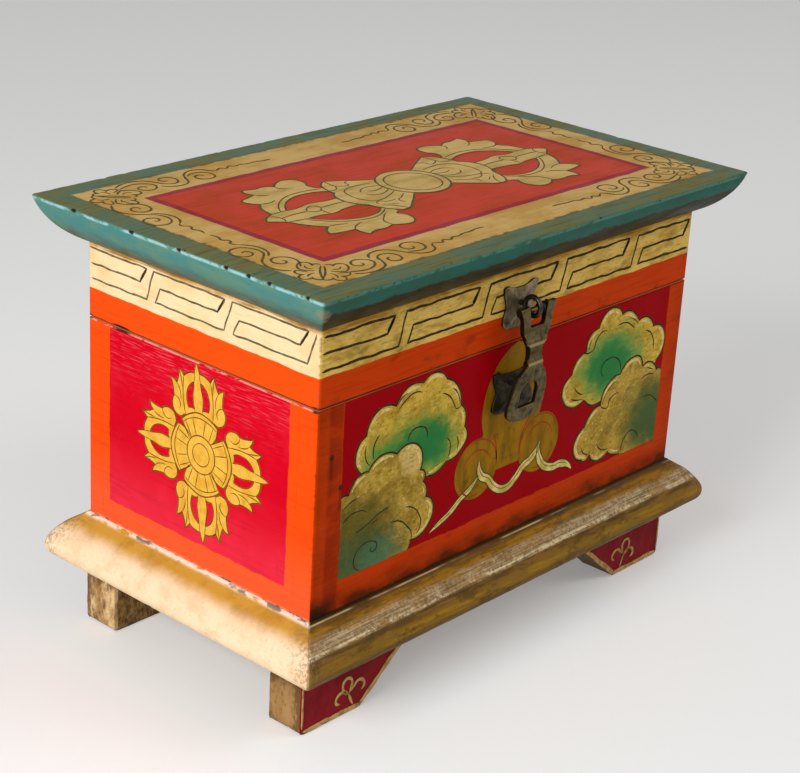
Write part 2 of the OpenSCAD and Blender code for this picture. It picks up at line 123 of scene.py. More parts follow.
class Finish:
    """A material under construction.

    x, y and z are places on the piece at rest. past_x and past_y say how far a place lies
    outside the planes of the body's ends and of its long sides.
    """

    def __init__(self, name, **constants):
        self.material = bpy.data.materials.new(name)
        self.material.use_nodes = True
        self.tree = self.material.node_tree
        self.shader = self.tree.nodes["Principled BSDF"]
        for socket, value in constants.items():
            self.shader.inputs[socket.replace("_", " ")].default_value = value
        place = self.node("TexCoord", {}, out="Object")
        self.place = self.node("VectorMath", {0: place, "Scale": 1 / MM}, operation="SCALE")
        self.x, self.y, self.z = self.parts(self.place)
        self.past_x, self.past_y = abs(self.x) - HALF_W, abs(self.y) - HALF_D

    def plug(self, socket, value):
        if isinstance(value, Wire):
            self.tree.links.new(value.socket, socket)
        else:
            socket.default_value = value

    def node(self, kind, inputs, out=0, **settings):
        made = self.tree.nodes.new("ShaderNode" + kind)
        for name, value in settings.items():
            setattr(made, name, value)
        for name, value in inputs.items():
            self.plug(made.inputs[name], value)
        return Wire(self, made.outputs[out])

    def parts(self, vector):
        """The X, Y and Z of a vector."""
        split = self.tree.nodes.new("ShaderNodeSeparateXYZ")
        self.plug(split.inputs[0], vector)
        return [Wire(self, out) for out in split.outputs]

    def noise(self, size, stretch=(1, 1, 1), detail=3, rough=0.55, shift=0.0, warp=0.0):
        """Noise whose blotches are about size across, drawn out along the axes by stretch."""
        scale = tuple(1 / (size * s) for s in stretch)
        where = self.node("VectorMath", {0: self.place, 1: scale, 2: (shift, shift, shift)},
                          operation="MULTIPLY_ADD")
        return self.node("TexNoise", {"Vector": where, "Scale": 1.0, "Detail": detail,
                                      "Roughness": rough, "Distortion": warp})

    def mix(self, amount, a, b):
        return self.node("Mix", {0: amount, 6: a, 7: b}, out=2, data_type="RGBA")

    def coats(self, colour, *layers):
        """A colour under layers of (amount, colour), each laid over those before it."""
        for amount, tint in layers:
            colour = self.mix(amount, colour, tint)
        return colour

    def near(self, x, y, z, radius):
        """1 at a place, falling to 0 at radius."""
        apart = self.node("VectorMath", {0: self.place, 1: (x, y, z)}, out=1,
                          operation="DISTANCE")
        return apart.rise(radius, 0.0)

    def finish(self, colour, roughness, relief, depth, eased=0.0):
        """Connects the shader. relief is a height of 0 to 1, depth its size, eased an edge radius."""
        bump = {"Height": relief, "Distance": depth * MM, "Strength": 1.0}
        if eased:
            bump["Normal"] = self.node("Bevel", {"Radius": eased * MM}, samples=4)
        for socket, value in (("Base Color", colour), ("Roughness", roughness),
                              ("Normal", self.node("Bump", bump))):
            self.plug(self.shader.inputs[socket], value)
        return self.material


# ---- Paint of the boards and mouldings ----

# The darker orange and crimson are copies for the long sides: partly age, partly painted shade
ORANGE, ORANGE_DEEP, ORANGE_AGED_AND_SHADED = rgb(246, 76, 12), rgb(206, 50, 6), rgb(204, 62, 4)
# The pale crimson serves pale blotches and a painted sheen on the ends
CRIMSON, CRIMSON_PALE_SHEEN, CRIMSON_AGED_AND_SHADED = rgb(206, 0, 28), rgb(230, 48, 70), rgb(160, 0, 10)
# The brown is a wash that also serves as painted shade
GRIME, BROWN_WASH_AND_SHADE, BARE = rgb(38, 28, 14), rgb(64, 34, 8), rgb(198, 162, 112)

# How much longer than wide brush strokes are along X, Y and Z
ALONG_SIDES = (16, 16, 1)
ALONG_X = (16, 1, 1)

# Crimson panels on the long sides and the ends: from and to along the side, and lower edge
LONG_PANEL, END_PANEL = (-96.5, 98.8, 59.2), (-48.2, 48.8, 56.4)
# Nail holes in the left rim of the front, as places on it
NAIL_HOLES = ((-102, 110), (-96.8, 97))
# Chips along the gap under the lid on the left end: middle along Y and reach
SEAM_CHIPS = ((42, 7), (60.5, 2.2), (-60.5, 2.6))


def bare_wood(f):
    """Colour of planed softwood with its grain along the boards."""
    rings = f.noise(2.2, (26, 26, 1), detail=4, warp=0.4)
    pores = f.noise(0.5, (14, 14, 1), detail=2, shift=7.0)
    return f.coats(BARE, (rings.rise(0.35, 0.7), rgb(166, 122, 74)),
                   (pores.rise(0.62, 0.8) * 0.35, rgb(110, 74, 40)))


def past_mitre(f):
    """1 on the end mouldings of the lid or the plinth, 0 on the long ones."""
    return (f.past_x - f.past_y).rise(-0.8, 0.8)


def brushwork(f, stretch, shift=0.0):
    """Height of brush strokes with a fine tooth between them."""
    strokes = f.noise(1.1, stretch, detail=3, rough=0.6, shift=shift)
    tooth = f.noise(0.5, detail=2, shift=shift + 3)
    return strokes * 0.75 + tooth * 0.25


def seam_chips(f, at_seam):
    """Coats of grime where the left end is chipped, at_seam being 1 along the gap under the lid."""
    at_left = f.x.rise(-HALF_W + 1.5, -HALF_W)
    return [(abs(f.y - y).rise(reach, reach * 0.3) * at_seam * at_left, GRIME)
            for y, reach in SEAM_CHIPS]


def board(f, colour, blotch, roughness, shift=0.0):
    """Material of boards that are painted outside and bare inside the box."""
    outside = f.past_x.over(f.past_y).rise(-0.9, -0.5)
    return f.finish(f.mix(outside, bare_wood(f), colour), blotch.rise(0.35, 0.7) * 0.15 + roughness,
                    brushwork(f, ALONG_SIDES, shift), 0.07, eased=0.35)


def body_fields(f, blotch, x, y, z, sides, ends):
    """Crimson panels in an orange frame, toned darker on the long sides: partly age, partly painted shade.
    """
    strokes = f.noise(1.3, ALONG_SIDES, detail=3)
    scratches = f.noise(0.5, ALONG_SIDES, detail=3, shift=8)

    def panel(along, left, right, low):
        return along.within(left, right) * z.rise(low, low + 0.5)

    # Darker copies of the paint on the long sides: partly age, partly painted shade
    orange = f.coats(
        f.mix(sides, ORANGE, ORANGE_AGED_AND_SHADED),
        (strokes.rise(0.4, 0.75) * 0.45, f.mix(sides, ORANGE_DEEP, rgb(168, 46, 2))),
        # Painted sheen: the orange of the ends pales towards their foot
        (f.z.rise(84, 50) * ends * 0.55, rgb(238, 98, 58)))
    # Pale scratches near the top of the ends, partly a painted sheen
    scratched_sheen = scratches.rise(0.52, 0.66) * f.z.rise(96, 126) * ends
    crimson = f.coats(
        f.mix(sides, CRIMSON, CRIMSON_AGED_AND_SHADED),
        # Pale blotches on the ends, and a painted sheen that grows towards their foot
        ((blotch.rise(0.45, 0.7) * 0.16 + f.z.rise(90, 54) * 0.7) * ends, CRIMSON_PALE_SHEEN),
        (strokes.rise(0.5, 0.8) * 0.3, rgb(150, 4, 30)),
        (scratched_sheen * (f.z.rise(106, 124) * 0.25 + 0.15), rgb(226, 104, 120)))
    return f.mix(panel(x, *LONG_PANEL) * sides + panel(y, *END_PANEL) * ends, orange, crimson)


def body_age_and_shade(f, x, z, sides):
    """Coats mostly on the long sides: brown rims of wash and painted shade, darker to the foot and edges; a
    dark strip and nail holes.
    """
    wash = f.noise(9, (1.6, 1.6, 1), detail=5, rough=0.6, shift=11)
    # Brown wash with painted shade, darker towards the foot and the side edges of the long sides
    low, left, right = f.z.rise(Z_BODY + 11, Z_BODY), f.x.rise(-96, -HALF_W - 3), f.x.rise(98, HALF_W)
    aged_and_shaded = (low * 1.1 + left * 0.5 + right * 0.3) * (wash.rise(0.3, 0.7) * 0.75 + 0.25)
    aged_and_shaded = (aged_and_shaded + wash.rise(0.58, 0.75) * 0.25).under(0.9) * (sides * 0.9 + 0.06)
    strip = x.within(-103.6, -96.6, 1.0) * sides * (wash.rise(0.3, 0.55) * 0.4 + 0.15)
    corner = x.rise(-94, -103) * z.rise(Z_BODY + 8, Z_BODY + 2) * sides
    coats = [(aged_and_shaded, BROWN_WASH_AND_SHADE), (strip, rgb(110, 24, 6)),
             (corner * (wash.rise(0.3, 0.5) * 0.5 + 0.4), GRIME)]
    for u, v in NAIL_HOLES:
        smear = abs(f.x - u).rise(1.5, 0.2) * (f.z - v).within(-9, 1, 1.5) * sides
        coats += [(smear * 0.5, rgb(84, 28, 14)),
                  (f.near(u, -HALF_D, v, 1.9).rise(0.1, 0.7) * 0.85, rgb(58, 30, 26))]
    return coats


def body_edges(f, z, sides, ends):
    """Coats of chips, grime and painted highlight and shade along the edges of the boards, and specks all
    over.
    """
    chips = f.noise(2.6, (2, 2, 1), detail=5, rough=0.65, shift=2)
    nicks = f.noise(2.4, (1, 1, 1.6), detail=5, rough=0.8, shift=29)
    specks = f.noise(0.7, detail=2, shift=9)
    foot_line = f.z.rise(Z_BODY + 1.1, Z_BODY + 0.4)
    return [
        # Painted highlight along the top edge of the ends, broken by chips
        (f.z.rise(Z_PART - 0.8, Z_PART - 0.45) * chips.rise(0.4, 0.5) * ends * 0.7, rgb(240, 176, 162)),
        # Painted shade in the gap under the lid, on the long sides
        (f.z.rise(Z_PART - 0.5, Z_PART - 0.2) * sides, GRIME),
        *seam_chips(f, z.rise(Z_PART - 1.1, Z_PART - 0.5)),
        (foot_line * ends * chips.rise(0.42, 0.52) * 0.6, rgb(214, 150, 120)),
        (foot_line * ends * chips.rise(0.56, 0.62), rgb(96, 84, 76)),
        # Painted shade along the foot of the long sides, over the plinth
        (foot_line * sides * 0.6, GRIME),
        (f.past_x.under(f.past_y).rise(-1.0, -0.3) * chips.rise(0.55, 0.66) * 0.7, GRIME),
        (nicks.rise(0.62, 0.7) * 0.4, rgb(112, 30, 8)),
        (specks.rise(0.74, 0.8) * 0.4, rgb(240, 226, 206))]


def body_paint():
    """Painted outside of the four boards, darkest on the long sides with age and painted shade."""
    f = Finish("body_paint", Specular_IOR_Level=0.018)
    blotch = f.noise(14, detail=4)
    shaky = (f.noise(7, detail=2, shift=5) - 0.5) * 1.6
    x, y, z = f.x + shaky, f.y + shaky, f.z + shaky
    sides, ends = f.past_y.rise(-0.5, -0.3), f.past_x.rise(-0.5, -0.3)
    colour = f.coats(body_fields(f, blotch, x, y, z, sides, ends), *body_age_and_shade(f, x, z, sides),
                     *body_edges(f, z, sides, ends))
    return board(f, colour, blotch, 0.28)


def rail_paint():
    """Cream frieze over an orange band; the long sides are toned darker than the ends, a painted shade."""
    f = Finish("rail_paint", Specular_IOR_Level=0.024)
    blotch = f.noise(10, (1.6, 1.6, 1), detail=5, rough=0.6)
    strokes = f.noise(1.2, ALONG_SIDES, detail=3, shift=4)
    glaze = f.noise(5, (2.5, 2.5, 1), detail=4, shift=12)
    tooth = f.noise(0.9, (5, 5, 1), detail=4, rough=0.7, shift=23)
    wash = f.noise(8, (1.6, 1.6, 1), detail=5, rough=0.6, shift=13)
    chips = f.noise(2.2, (3, 3, 1), detail=4, shift=6)
    z = f.z + (f.noise(9, detail=2, shift=1) - 0.5) * 1.4
    sides = f.past_y.rise(-0.5, -0.3)
    under_slab = z.rise(Z_SLAB - 2.8, Z_SLAB - 0.4)
    # The long sides take darker copies of the cream: painted shade
    cream = f.coats(
        f.mix(sides, rgb(240, 210, 164), rgb(232, 192, 96)),
        (blotch.rise(0.42, 0.66) * 0.6, f.mix(sides, rgb(230, 190, 130), rgb(186, 138, 44))),
        (glaze.rise(0.52, 0.7) * sides * 0.55, rgb(128, 110, 34)),
        (strokes.rise(0.55, 0.8) * 0.35, rgb(206, 146, 44)),
        (tooth.rise(0.54, 0.66) * (sides * 0.4 + 0.12), rgb(150, 112, 34)),
        (tooth.rise(0.44, 0.34) * sides * 0.4, rgb(246, 216, 140)),
        (under_slab * (blotch.rise(0.35, 0.6) * 0.7 + 0.2), rgb(196, 132, 44)),
        (under_slab * strokes.rise(0.5, 0.62) * 0.6, rgb(96, 62, 20)))
    # The long sides take darker copies of the orange: painted shade
    band = f.coats(
        f.mix(sides, ORANGE, rgb(206, 62, 2)),
        (strokes.rise(0.45, 0.75) * 0.4, f.mix(sides, ORANGE_DEEP, rgb(156, 38, 2))))
    colour = f.coats(
        band, (z.rise(Z_BAND - 0.2, Z_BAND + 0.2), cream),
        # Brown wash, heavier on the long sides, partly painted shade
        (wash.rise(0.54, 0.76) * (sides * 0.5 + 0.06), BROWN_WASH_AND_SHADE),
        # Painted shade in the gap under the lid, broken by chips
        (f.z.rise(Z_RAIL + 0.8, Z_RAIL + 0.3) * (chips.rise(0.4, 0.5) * 0.3 + 0.7), GRIME),
        *seam_chips(f, z.rise(Z_RAIL + 1.4, Z_RAIL + 0.8)),
        (f.past_x.under(f.past_y).rise(-1.2, -0.3) * chips.rise(0.45, 0.6) * 0.7, rgb(104, 92, 64)))
    return board(f, colour, blotch, 0.32, 8)


# Painted fields on the lid: width of the teal border, then the purple line round the red field,
# as its outer edges along X and along Y and its width
LID_BORDER = 10.6
LID_LINE = ((-95.4, 96.3), (-47.3, 46.8))
LID_LINE_W = 3.3
# Dents knocked in the left-hand crest of the lid, as places along Y
DENTS = (52, 20, -5, -29, -40, -50, -68)


def lid_top(f, blotch, strokes):
    """Red field, purple line, gold band and teal border, with grime along the border's edge."""
    rim_grime = f.noise(6, detail=5, rough=0.7, shift=15)
    grain = f.noise(0.9, (30, 1, 1), detail=3, shift=25)
    shaky = (f.noise(9, detail=2) - 0.5) * 1.5
    x, y = f.x + shaky, f.y + shaky

    def field(across, along, soft=0.25):
        """1 inside a painted rectangle."""
        return x.within(*across, soft) * y.within(*along, soft)

    gold_field = [(LID_BORDER - half, half - LID_BORDER) for half in (SLAB_X, SLAB_Y)]
    red_field = [(low + LID_LINE_W, high - LID_LINE_W) for low, high in LID_LINE]
    teal = f.coats(
        rgb(84, 110, 84), (blotch.rise(0.4, 0.65), rgb(112, 110, 62)),
        (strokes.rise(0.48, 0.7) * 0.6, rgb(56, 76, 54)))
    gold = f.coats(
        rgb(214, 174, 100), (blotch.rise(0.4, 0.62) * 0.8, rgb(192, 146, 64)),
        (strokes.rise(0.5, 0.75) * 0.5, rgb(170, 144, 66)))
    purple = f.mix(strokes.rise(0.45, 0.75), rgb(156, 36, 50), rgb(128, 24, 34))
    red = f.coats(
        rgb(202, 54, 18), (blotch.rise(0.42, 0.66) * 0.7, rgb(176, 68, 22)),
        (strokes.rise(0.48, 0.75) * 0.5, rgb(160, 38, 10)))
    at_rim = field(*gold_field, 1.6)
    return f.coats(
        teal, (field(*gold_field), gold), (field(*LID_LINE), purple), (field(*red_field), red),
        (at_rim * (1.0 - at_rim) * 4.0 * rim_grime.rise(0.44, 0.62) * 0.8, rgb(84, 56, 18)),
        (grain.rise(0.58, 0.72) * blotch.rise(0.4, 0.6) * 0.35, rgb(70, 44, 18)))


def lid_edge(f, end):
    """Turquoise round the edge of the slab, darker and browner towards its foot with dirt and painted shade,
    and darker on the long sides as painted shade.
    """
    wash = f.noise(6, (3, 3, 1), detail=5, rough=0.65, shift=21)
    washed = wash.rise(0.4, 0.65)
    # Darker and browner towards the foot of the edge: dirt and painted shade on the underside
    deep = (f.z + (wash - 0.5) * 8).rise(Z_TOP - 7, Z_SLAB + 2)
    end_edge = f.coats(
        rgb(70, 128, 126), (washed, rgb(92, 134, 114)), (deep * 0.85, rgb(76, 86, 60)),
        (deep * f.noise(3, (4, 4, 1), shift=3).rise(0.48, 0.62) * 0.8, rgb(98, 74, 34)))
    ragged = f.z + (f.noise(3, (4, 4, 1), detail=5, rough=0.75, shift=33) - 0.5) * 7
    # The long edges take darker copies of the turquoise: painted shade
    long_edge = f.coats(
        rgb(44, 104, 92), (washed, rgb(54, 92, 76)),
        (ragged.rise(Z_TOP - 6.4, Z_TOP - 7.3), f.mix(washed, rgb(62, 60, 40), rgb(50, 40, 24))))
    return f.mix(end, long_edge, end_edge)


def lid_wear(f, end):
    """Coats of wear and light: the rubbed and chipped crest with a painted highlight, a torn corner and the
    dents.
    """
    chips = f.noise(4.0, (2, 2, 2), detail=5, rough=0.7, shift=17)
    out = (abs(f.x) - SLAB_X).over(abs(f.y) - SLAB_Y)
    crest = out.rise(-1.2, -0.55) * f.z.within(Z_TOP - 1.7, Z_TOP - 0.5, 0.3)
    torn = f.near(-SLAB_X + 1.5, -SLAB_Y + 1.5, Z_TOP - 8.5, 9).rise(0.25, 0.6) * chips.rise(0.4, 0.52)
    dents = [(f.near(-SLAB_X, place, Z_TOP - 0.4, 2.3).rise(0.15, 0.45), rgb(46, 36, 22))
             for place in DENTS]
    return [
        # Painted highlight along the chipped crest, paler on the ends than on the long edges
        (crest * chips.rise(0.4, 0.52) * 0.65, f.mix(end, rgb(96, 146, 132), rgb(170, 214, 222))),
        (out.rise(-1.6, -0.7) * f.z.rise(Z_TOP - 1.8, Z_TOP - 0.6) * chips.rise(0.6, 0.66), GRIME),
        (torn * f.z.rise(Z_TOP - 1.5, Z_TOP - 4) * 0.8, rgb(136, 132, 104)), *dents]


def lid_paint():
    """Painted top and edge of the slab, bare inside the lid."""
    f = Finish("lid_paint", Specular_IOR_Level=0.024)
    blotch = f.noise(13, (1.8, 1, 1), detail=5, rough=0.6)
    strokes = f.noise(1.4, ALONG_X, detail=4, rough=0.6, shift=5)
    end = past_mitre(f)
    hidden = f.past_x.over(f.past_y).rise(-0.2, -0.6) * f.z.rise(Z_SLAB + 3, Z_SLAB + 2)
    colour = f.coats(
        lid_edge(f, end), (f.z.rise(Z_TOP - 0.75, Z_TOP - 0.15), lid_top(f, blotch, strokes)),
        *lid_wear(f, end), (hidden, bare_wood(f)))
    return f.finish(colour, blotch.rise(0.35, 0.7) * 0.14 + 0.34, brushwork(f, ALONG_X), 0.08)


# Levels on the plinth: where its rubbed and lit shoulder starts on the long sides, the golden streak under
# it, the painted highlight line between them and the shade along its foot
SHOULDER = (Z_BODY - 9.0, Z_BODY - 7.6)
STREAK = (Z_BODY - 15.4, Z_BODY - 11.2)
PALE_LINE = (Z_BODY - 8.2, Z_BODY - 7.2)
FOOT_SHADE = (Z_BODY - 16.4, Z_BODY - 19.4)


def plinth_cream(f, z, wild_z, blotch, speckle):
    """Cream nose under an ochre shoulder, on the ends."""
    ochre = f.mix(blotch.rise(0.45, 0.65) * 0.6, rgb(200, 146, 38), rgb(164, 116, 24))
    return f.coats(
        rgb(246, 216, 178), (blotch.rise(0.42, 0.68) * 0.55, rgb(226, 184, 136)),
        (speckle.rise(0.54, 0.66) * 0.3, rgb(190, 146, 104)),
        (wild_z.rise(Z_BODY - 8.0, Z_BODY - 3.0) * 0.95, ochre),
        (z.rise(Z_PLINTH + 2.2, Z_PLINTH + 0.6) * 0.8, rgb(206, 148, 50)))


def plinth_brown(f, z, calm_z, blotch, strokes, dry):
    """Brown and stained along the long sides; the shoulder pale with rubbing and painted highlight, and
    painted shade at the body.
    """
    stains = f.noise(5, (2.6, 2.6, 1), detail=6, rough=0.75, shift=27)
    streak = calm_z.within(*STREAK, 1.4)
    rubbed = calm_z.rise(*SHOULDER) * z.rise(Z_BODY - 2.9, Z_BODY - 4.9)
    # Painted highlight along the ridge of the shoulder
    pale = calm_z.within(*PALE_LINE, 0.5) * blotch.rise(0.6, 0.46) * (1.0 - dry)
    return f.coats(
        rgb(160, 112, 22), (strokes.rise(0.4, 0.62), rgb(116, 80, 18)),
        # Painted shade in the crease along the body
        (calm_z.rise(Z_BODY - 2.6, Z_BODY - 1.0) * 0.8, rgb(74, 52, 24)),
        (calm_z.rise(*SHOULDER[::-1]),
         f.mix(strokes.rise(0.4, 0.6), rgb(130, 94, 36), rgb(94, 68, 28))),
        (streak * (strokes.rise(0.4, 0.62) * 0.7 + 0.15), rgb(168, 126, 26)),
        (calm_z.rise(*FOOT_SHADE) * 0.6, rgb(78, 56, 24)),
        (stains.rise(0.5, 0.64) * 0.6, rgb(72, 52, 26)),
        # Pale shoulder: rubbed wear and painted highlight
        (rubbed * (blotch.rise(0.62, 0.4) * 0.45 + 0.45),
         f.mix(dry, rgb(196, 174, 138), rgb(136, 112, 76))),
        (pale * 0.8, rgb(234, 212, 168)))


def plinth_edges(f, out, end, speckle):
    """Coats of grime at the mitres and the lower edge, and of what lies along the body, with a painted
    highlight and painted shade in the crease on the long sides.
    """
    gaps = f.noise(3, (4, 4, 1), detail=4, shift=8)
    long_gaps = f.noise(8, (4, 4, 1), detail=3, shift=18)
    meeting = abs(f.past_x - f.past_y).rise(13, 1) * out.rise(1, 4)
    lower_edge = f.z.rise(Z_PLINTH + 1.6, Z_PLINTH + 0.2) * speckle.rise(0.5, 0.62)
    at_body = f.z.rise(Z_BODY - 2.5, Z_BODY - 0.8)
    crevice = out.rise(2.4, 0.9) * at_body * end
    # Painted highlight along the edge by the body
    lit_edge = out.within(1.1, 1.6, 0.2) * at_body * (1.0 - end)
    # Painted shade in the crease between the long sides and the body
    dark_line = out.rise(1.2, 0.6) * f.z.rise(Z_BODY - 2.5, Z_BODY - 0.5) * (1.0 - end)
    return [
        (meeting * speckle.rise(0.46, 0.56) * 0.6, rgb(150, 112, 78)),
        (speckle.rise(0.68, 0.74) * 0.7, GRIME),
        (lower_edge * 0.8, GRIME),
        (crevice * gaps.rise(0.36, 0.44), rgb(246, 224, 196)),
        (crevice * gaps.rise(0.55, 0.62) * 0.8, rgb(84, 66, 52)),
        (lit_edge * long_gaps.rise(0.42, 0.56) * 0.8, rgb(212, 184, 134)),
        (dark_line * 0.8, GRIME)]


def plinth_paint():
    """Painted mouldings, bare towards the inside of the chest."""
    f = Finish("plinth_paint", Specular_IOR_Level=0.06)
    blotch = f.noise(8, (1.6, 1.6, 1), detail=5, rough=0.65)
    strokes = f.noise(1.2, (14, 14, 1.2), detail=4, rough=0.65, shift=3)
    fine = f.noise(0.5, (44, 44, 1), detail=3, rough=0.6, shift=31)
    speckle = f.noise(1.6, detail=5, rough=0.75, shift=5)
    dry = (fine * 0.5 + speckle * 0.5).rise(0.44, 0.56)
    shaky = (f.noise(10, detail=4, rough=0.6, shift=9) - 0.5) * 5
    calm_z, z, wild_z = (f.z + shaky * share for share in (0.22, 0.3, 0.6))
    out, end = f.past_x.over(f.past_y), past_mitre(f)
    colour = f.coats(
        plinth_brown(f, z, calm_z, blotch, strokes, dry),
        (end, plinth_cream(f, z, wild_z, blotch, speckle)),
        *plinth_edges(f, out, end, speckle), (out.rise(-1.2, -1.6), bare_wood(f)))
    return f.finish(colour, blotch.rise(0.35, 0.7) * 0.2 + 0.38,
                    strokes * 0.4 + fine * 0.2 + speckle * 0.4, 0.12)


def foot_paint():
    """Dark crimson long faces; cream ends rubbed and stained, brown on the front feet."""
    f = Finish("foot_paint", Specular_IOR_Level=0.05)
    blotch = f.noise(7, (1, 1, 1.6), detail=5, rough=0.65)
    speckle = f.noise(1.8, (1, 1, 2.2), detail=5, rough=0.75, shift=5)
    cracks = f.noise(1.2, (1, 1, 8), detail=4, rough=0.7, shift=12)
    past_face = abs(f.y) - FOOT_Y
    red = f.coats(
        rgb(142, 20, 30), (blotch.rise(0.4, 0.7) * 0.6, rgb(104, 22, 26)),
        (f.noise(1.2, (12, 1, 1), detail=3).rise(0.55, 0.7) * 0.4, rgb(92, 34, 30)))
    at_edge = past_face.rise(-5.5, -0.8).over(f.z.rise(15, 25))
    stains = (speckle * 0.6 + blotch * 0.4 + at_edge * 0.16).rise(0.5, 0.62)
    cream = f.coats(
        rgb(226, 192, 140), (blotch.rise(0.36, 0.58) * 0.85, rgb(150, 106, 60)),
        (f.y.rise(-30, -40) * 0.85, f.mix(f.z.rise(13, 23), rgb(154, 115, 68), rgb(98, 68, 32))),
        (cracks.rise(0.56, 0.68) * 0.25, rgb(96, 66, 40)),
        (stains * 0.7, rgb(84, 58, 36)),
        ((abs(f.x) - FOOT_X).rise(-1.8, -2.6) * 0.85,
         f.mix(speckle.rise(0.4, 0.6), rgb(158, 124, 70), rgb(88, 64, 36))))
    colour = f.coats(
        cream, (past_face.rise(-0.75, -0.45), red),
        (speckle.rise(0.66, 0.74) * 0.6, GRIME),
        ((f.z + (blotch - 0.5) * 3).rise(1.3, 0.2) * 0.8, GRIME))
    return f.finish(colour, blotch.rise(0.35, 0.7) * 0.2 + 0.4, speckle, 0.1)


def bare_board():
    """Planed wood of the bottom board and the dowels."""
    f = Finish("bare_wood", Specular_IOR_Level=0.3)
    return f.finish(bare_wood(f), 0.6, f.noise(0.9, (20, 20, 1), detail=4), 0.08, eased=0.3)


# Heights of the two collars of the hasp's link, and how far below and above them it is polished
COLLARS = (131.6, 123.9)
POLISHED = (0.8, 0.7)
# Colours of polished metal and of the painted shade on its sides
POLISH, SHADED = (0.38, 0.28, 0.105, 1), (0.02, 0.016, 0.01, 1)


def metal(name, bright, dull, patina, roughness, collars=(), dark_sides=0.0):
    """Old brass or bronze with patina in patches, polished at its collars, with painted shade off its front.
    """
    f = Finish(name, Metallic=1.0)
    patches = f.noise(2.6, detail=5, rough=0.6)
    scratches = f.noise(0.35, (1, 1, 9), detail=3, shift=4)
    colour = f.coats(bright + (1,), (patches.rise(0.4, 0.6), dull + (1,)),
                     (patches.rise(0.54, 0.72) * 0.8, patina + (1,)))
    rough = patches.rise(0.3, 0.75) * 0.2 + roughness
    for z in collars:
        polish = f.z.within(z - POLISHED[0], z + POLISHED[1], 0.35)
        colour = f.mix(polish * 0.8, colour, POLISH)
        rough = rough - polish * 0.12
    # Painted shade on the faces turned away from the front
    if dark_sides:
        to_front = f.parts(f.node("TexCoord", {}, out="Normal"))[1] * -1.0
        colour = f.mix(to_front.rise(0.8, 0.4) * dark_sides, colour, SHADED)
    return f.finish(colour, rough, patches * 0.4 + scratches * 0.6, 0.05, eased=0.12)


def pigment(name, colour, second, size, stretch=(1, 1, 1), dirt=0.25):
    """Ornament paint: two tones in brushed patches under a thin, grimy varnish."""
    f = Finish(name, Specular_IOR_Level=0.04)
    patches = f.noise(size, stretch, detail=4, rough=0.6)
    wash = f.noise(5, detail=5, rough=0.7, shift=19)
    shade = f.coats(rgb(*colour), (patches.rise(0.4, 0.66), rgb(*second)),
                    (wash.rise(0.54, 0.74) * dirt, GRIME))
    return f.finish(shade, patches.rise(0.3, 0.8) * 0.2 + 0.36, brushwork(f, (3, 3, 1), 2), 0.06)


# ---- Lines and outlines ----

def arc_at(a, b, c, t):
    """Place on the circle through a, b and c: a at t = 0, b at 1 and c at 2."""
    ab, bc = b - a, c - b
    bend = ab.x * bc.y - ab.y * bc.x
    if abs(bend) < 1e-3 * ab.length * bc.length:
        return a.lerp(b, t) if t < 1 else b.lerp(c, t - 1)
    mid_ab, mid_bc = (a + b) / 2, (b + c) / 2
    along = ((mid_bc - mid_ab).x * bc.x + (mid_bc - mid_ab).y * bc.y) / -bend
    centre = mid_ab + Vector((ab.y, -ab.x)) * along
    way = 1 if bend > 0 else -1
    start, end = (a, b) if t < 1 else (b, c)
    from_angle = math.atan2(*reversed(start - centre))
    to_angle = math.atan2(*reversed(end - centre))
    sweep = way * ((way * (to_angle - from_angle)) % (2 * math.pi))
    angle = from_angle + sweep * (t if t < 1 else t - 1)
    return centre + (a - centre).length * Vector((math.cos(angle), math.sin(angle)))


def flow(points, pitch=0.7):
    """Smooth line through points, blended from the circles through each three neighbours."""
    spots = [Vector(p) for p in points]
    last = len(spots) - 1
    line = []
    for i, (here, there) in enumerate(zip(spots, spots[1:])):
        steps = max(2, round((there - here).length / pitch))
        for k in range(steps):
            t = k / steps
            ways = []
            if i > 0:
                ways.append(arc_at(spots[i - 1], here, there, 1 + t))
            if i < last - 1:
                ways.append(arc_at(here, there, spots[i + 2], t))
            if not ways:
                ways.append(here.lerp(there, t))
            line.append(ways[0].lerp(ways[-1], math.sin(math.pi * t / 2) ** 2))
    return line + [spots[-1]]


def runs(*parts):
    """Outline of smooth parts that meet in cusps. Each part starts where the last one ended."""
    line = []
    for part in parts:
        line += flow([*line[-1:], *part])[1 if line else 0:]
    return line


def circle(u, v, r, start=0, end=360, pitch=0.7):
    """Circle or arc, from an angle to another one in degrees."""
    steps = max(8, round(abs(end - start) / 360 * 2 * math.pi * r / pitch))
    closed = 0 if end - start == 360 else 1
    angles = [math.radians(start + (end - start) * k / steps) for k in range(steps + closed)]
    return [Vector((u + r * math.cos(a), v + r * math.sin(a))) for a in angles]


def moved(line, turn=0.0, flip=(1, 1), to=(0, 0)):
    """A line mirrored by flip, turned by degrees about the origin and then shifted."""
    spin = Matrix.Rotation(math.radians(turn), 2)
    return [spin @ Vector((p[0] * flip[0], p[1] * flip[1])) + Vector(to) for p in line]


# How far the lower side of laid paint goes into the wood, and the shape of a brush line: closest
# places along it, width at its tips and of its flat top as shares of its full width
SINK = 0.05
CLOSEST = 0.05
TIP, FLAT = 0.35, 0.6


def skin(bm, rings, closed=False, smooth=lambda k: False):
    """Faces from each ring of vertices to the next, and over both ends unless it is closed."""
    following = rings[1:] + rings[:1] if closed else rings[1:]
    for low, high in zip(rings, following):
        for k in range(len(low)):
            n = (k + 1) % len(low)
            bm.faces.new((low[k], low[n], high[n], high[k])).smooth = smooth(k)
    if not closed:
        bm.faces.new(rings[0])
        bm.faces.new(rings[-1])


def linked(name, data):
    """Object in the scene that holds some data."""
    made = bpy.data.objects.new(name, data)
    bpy.context.scene.collection.objects.link(made)
    return made


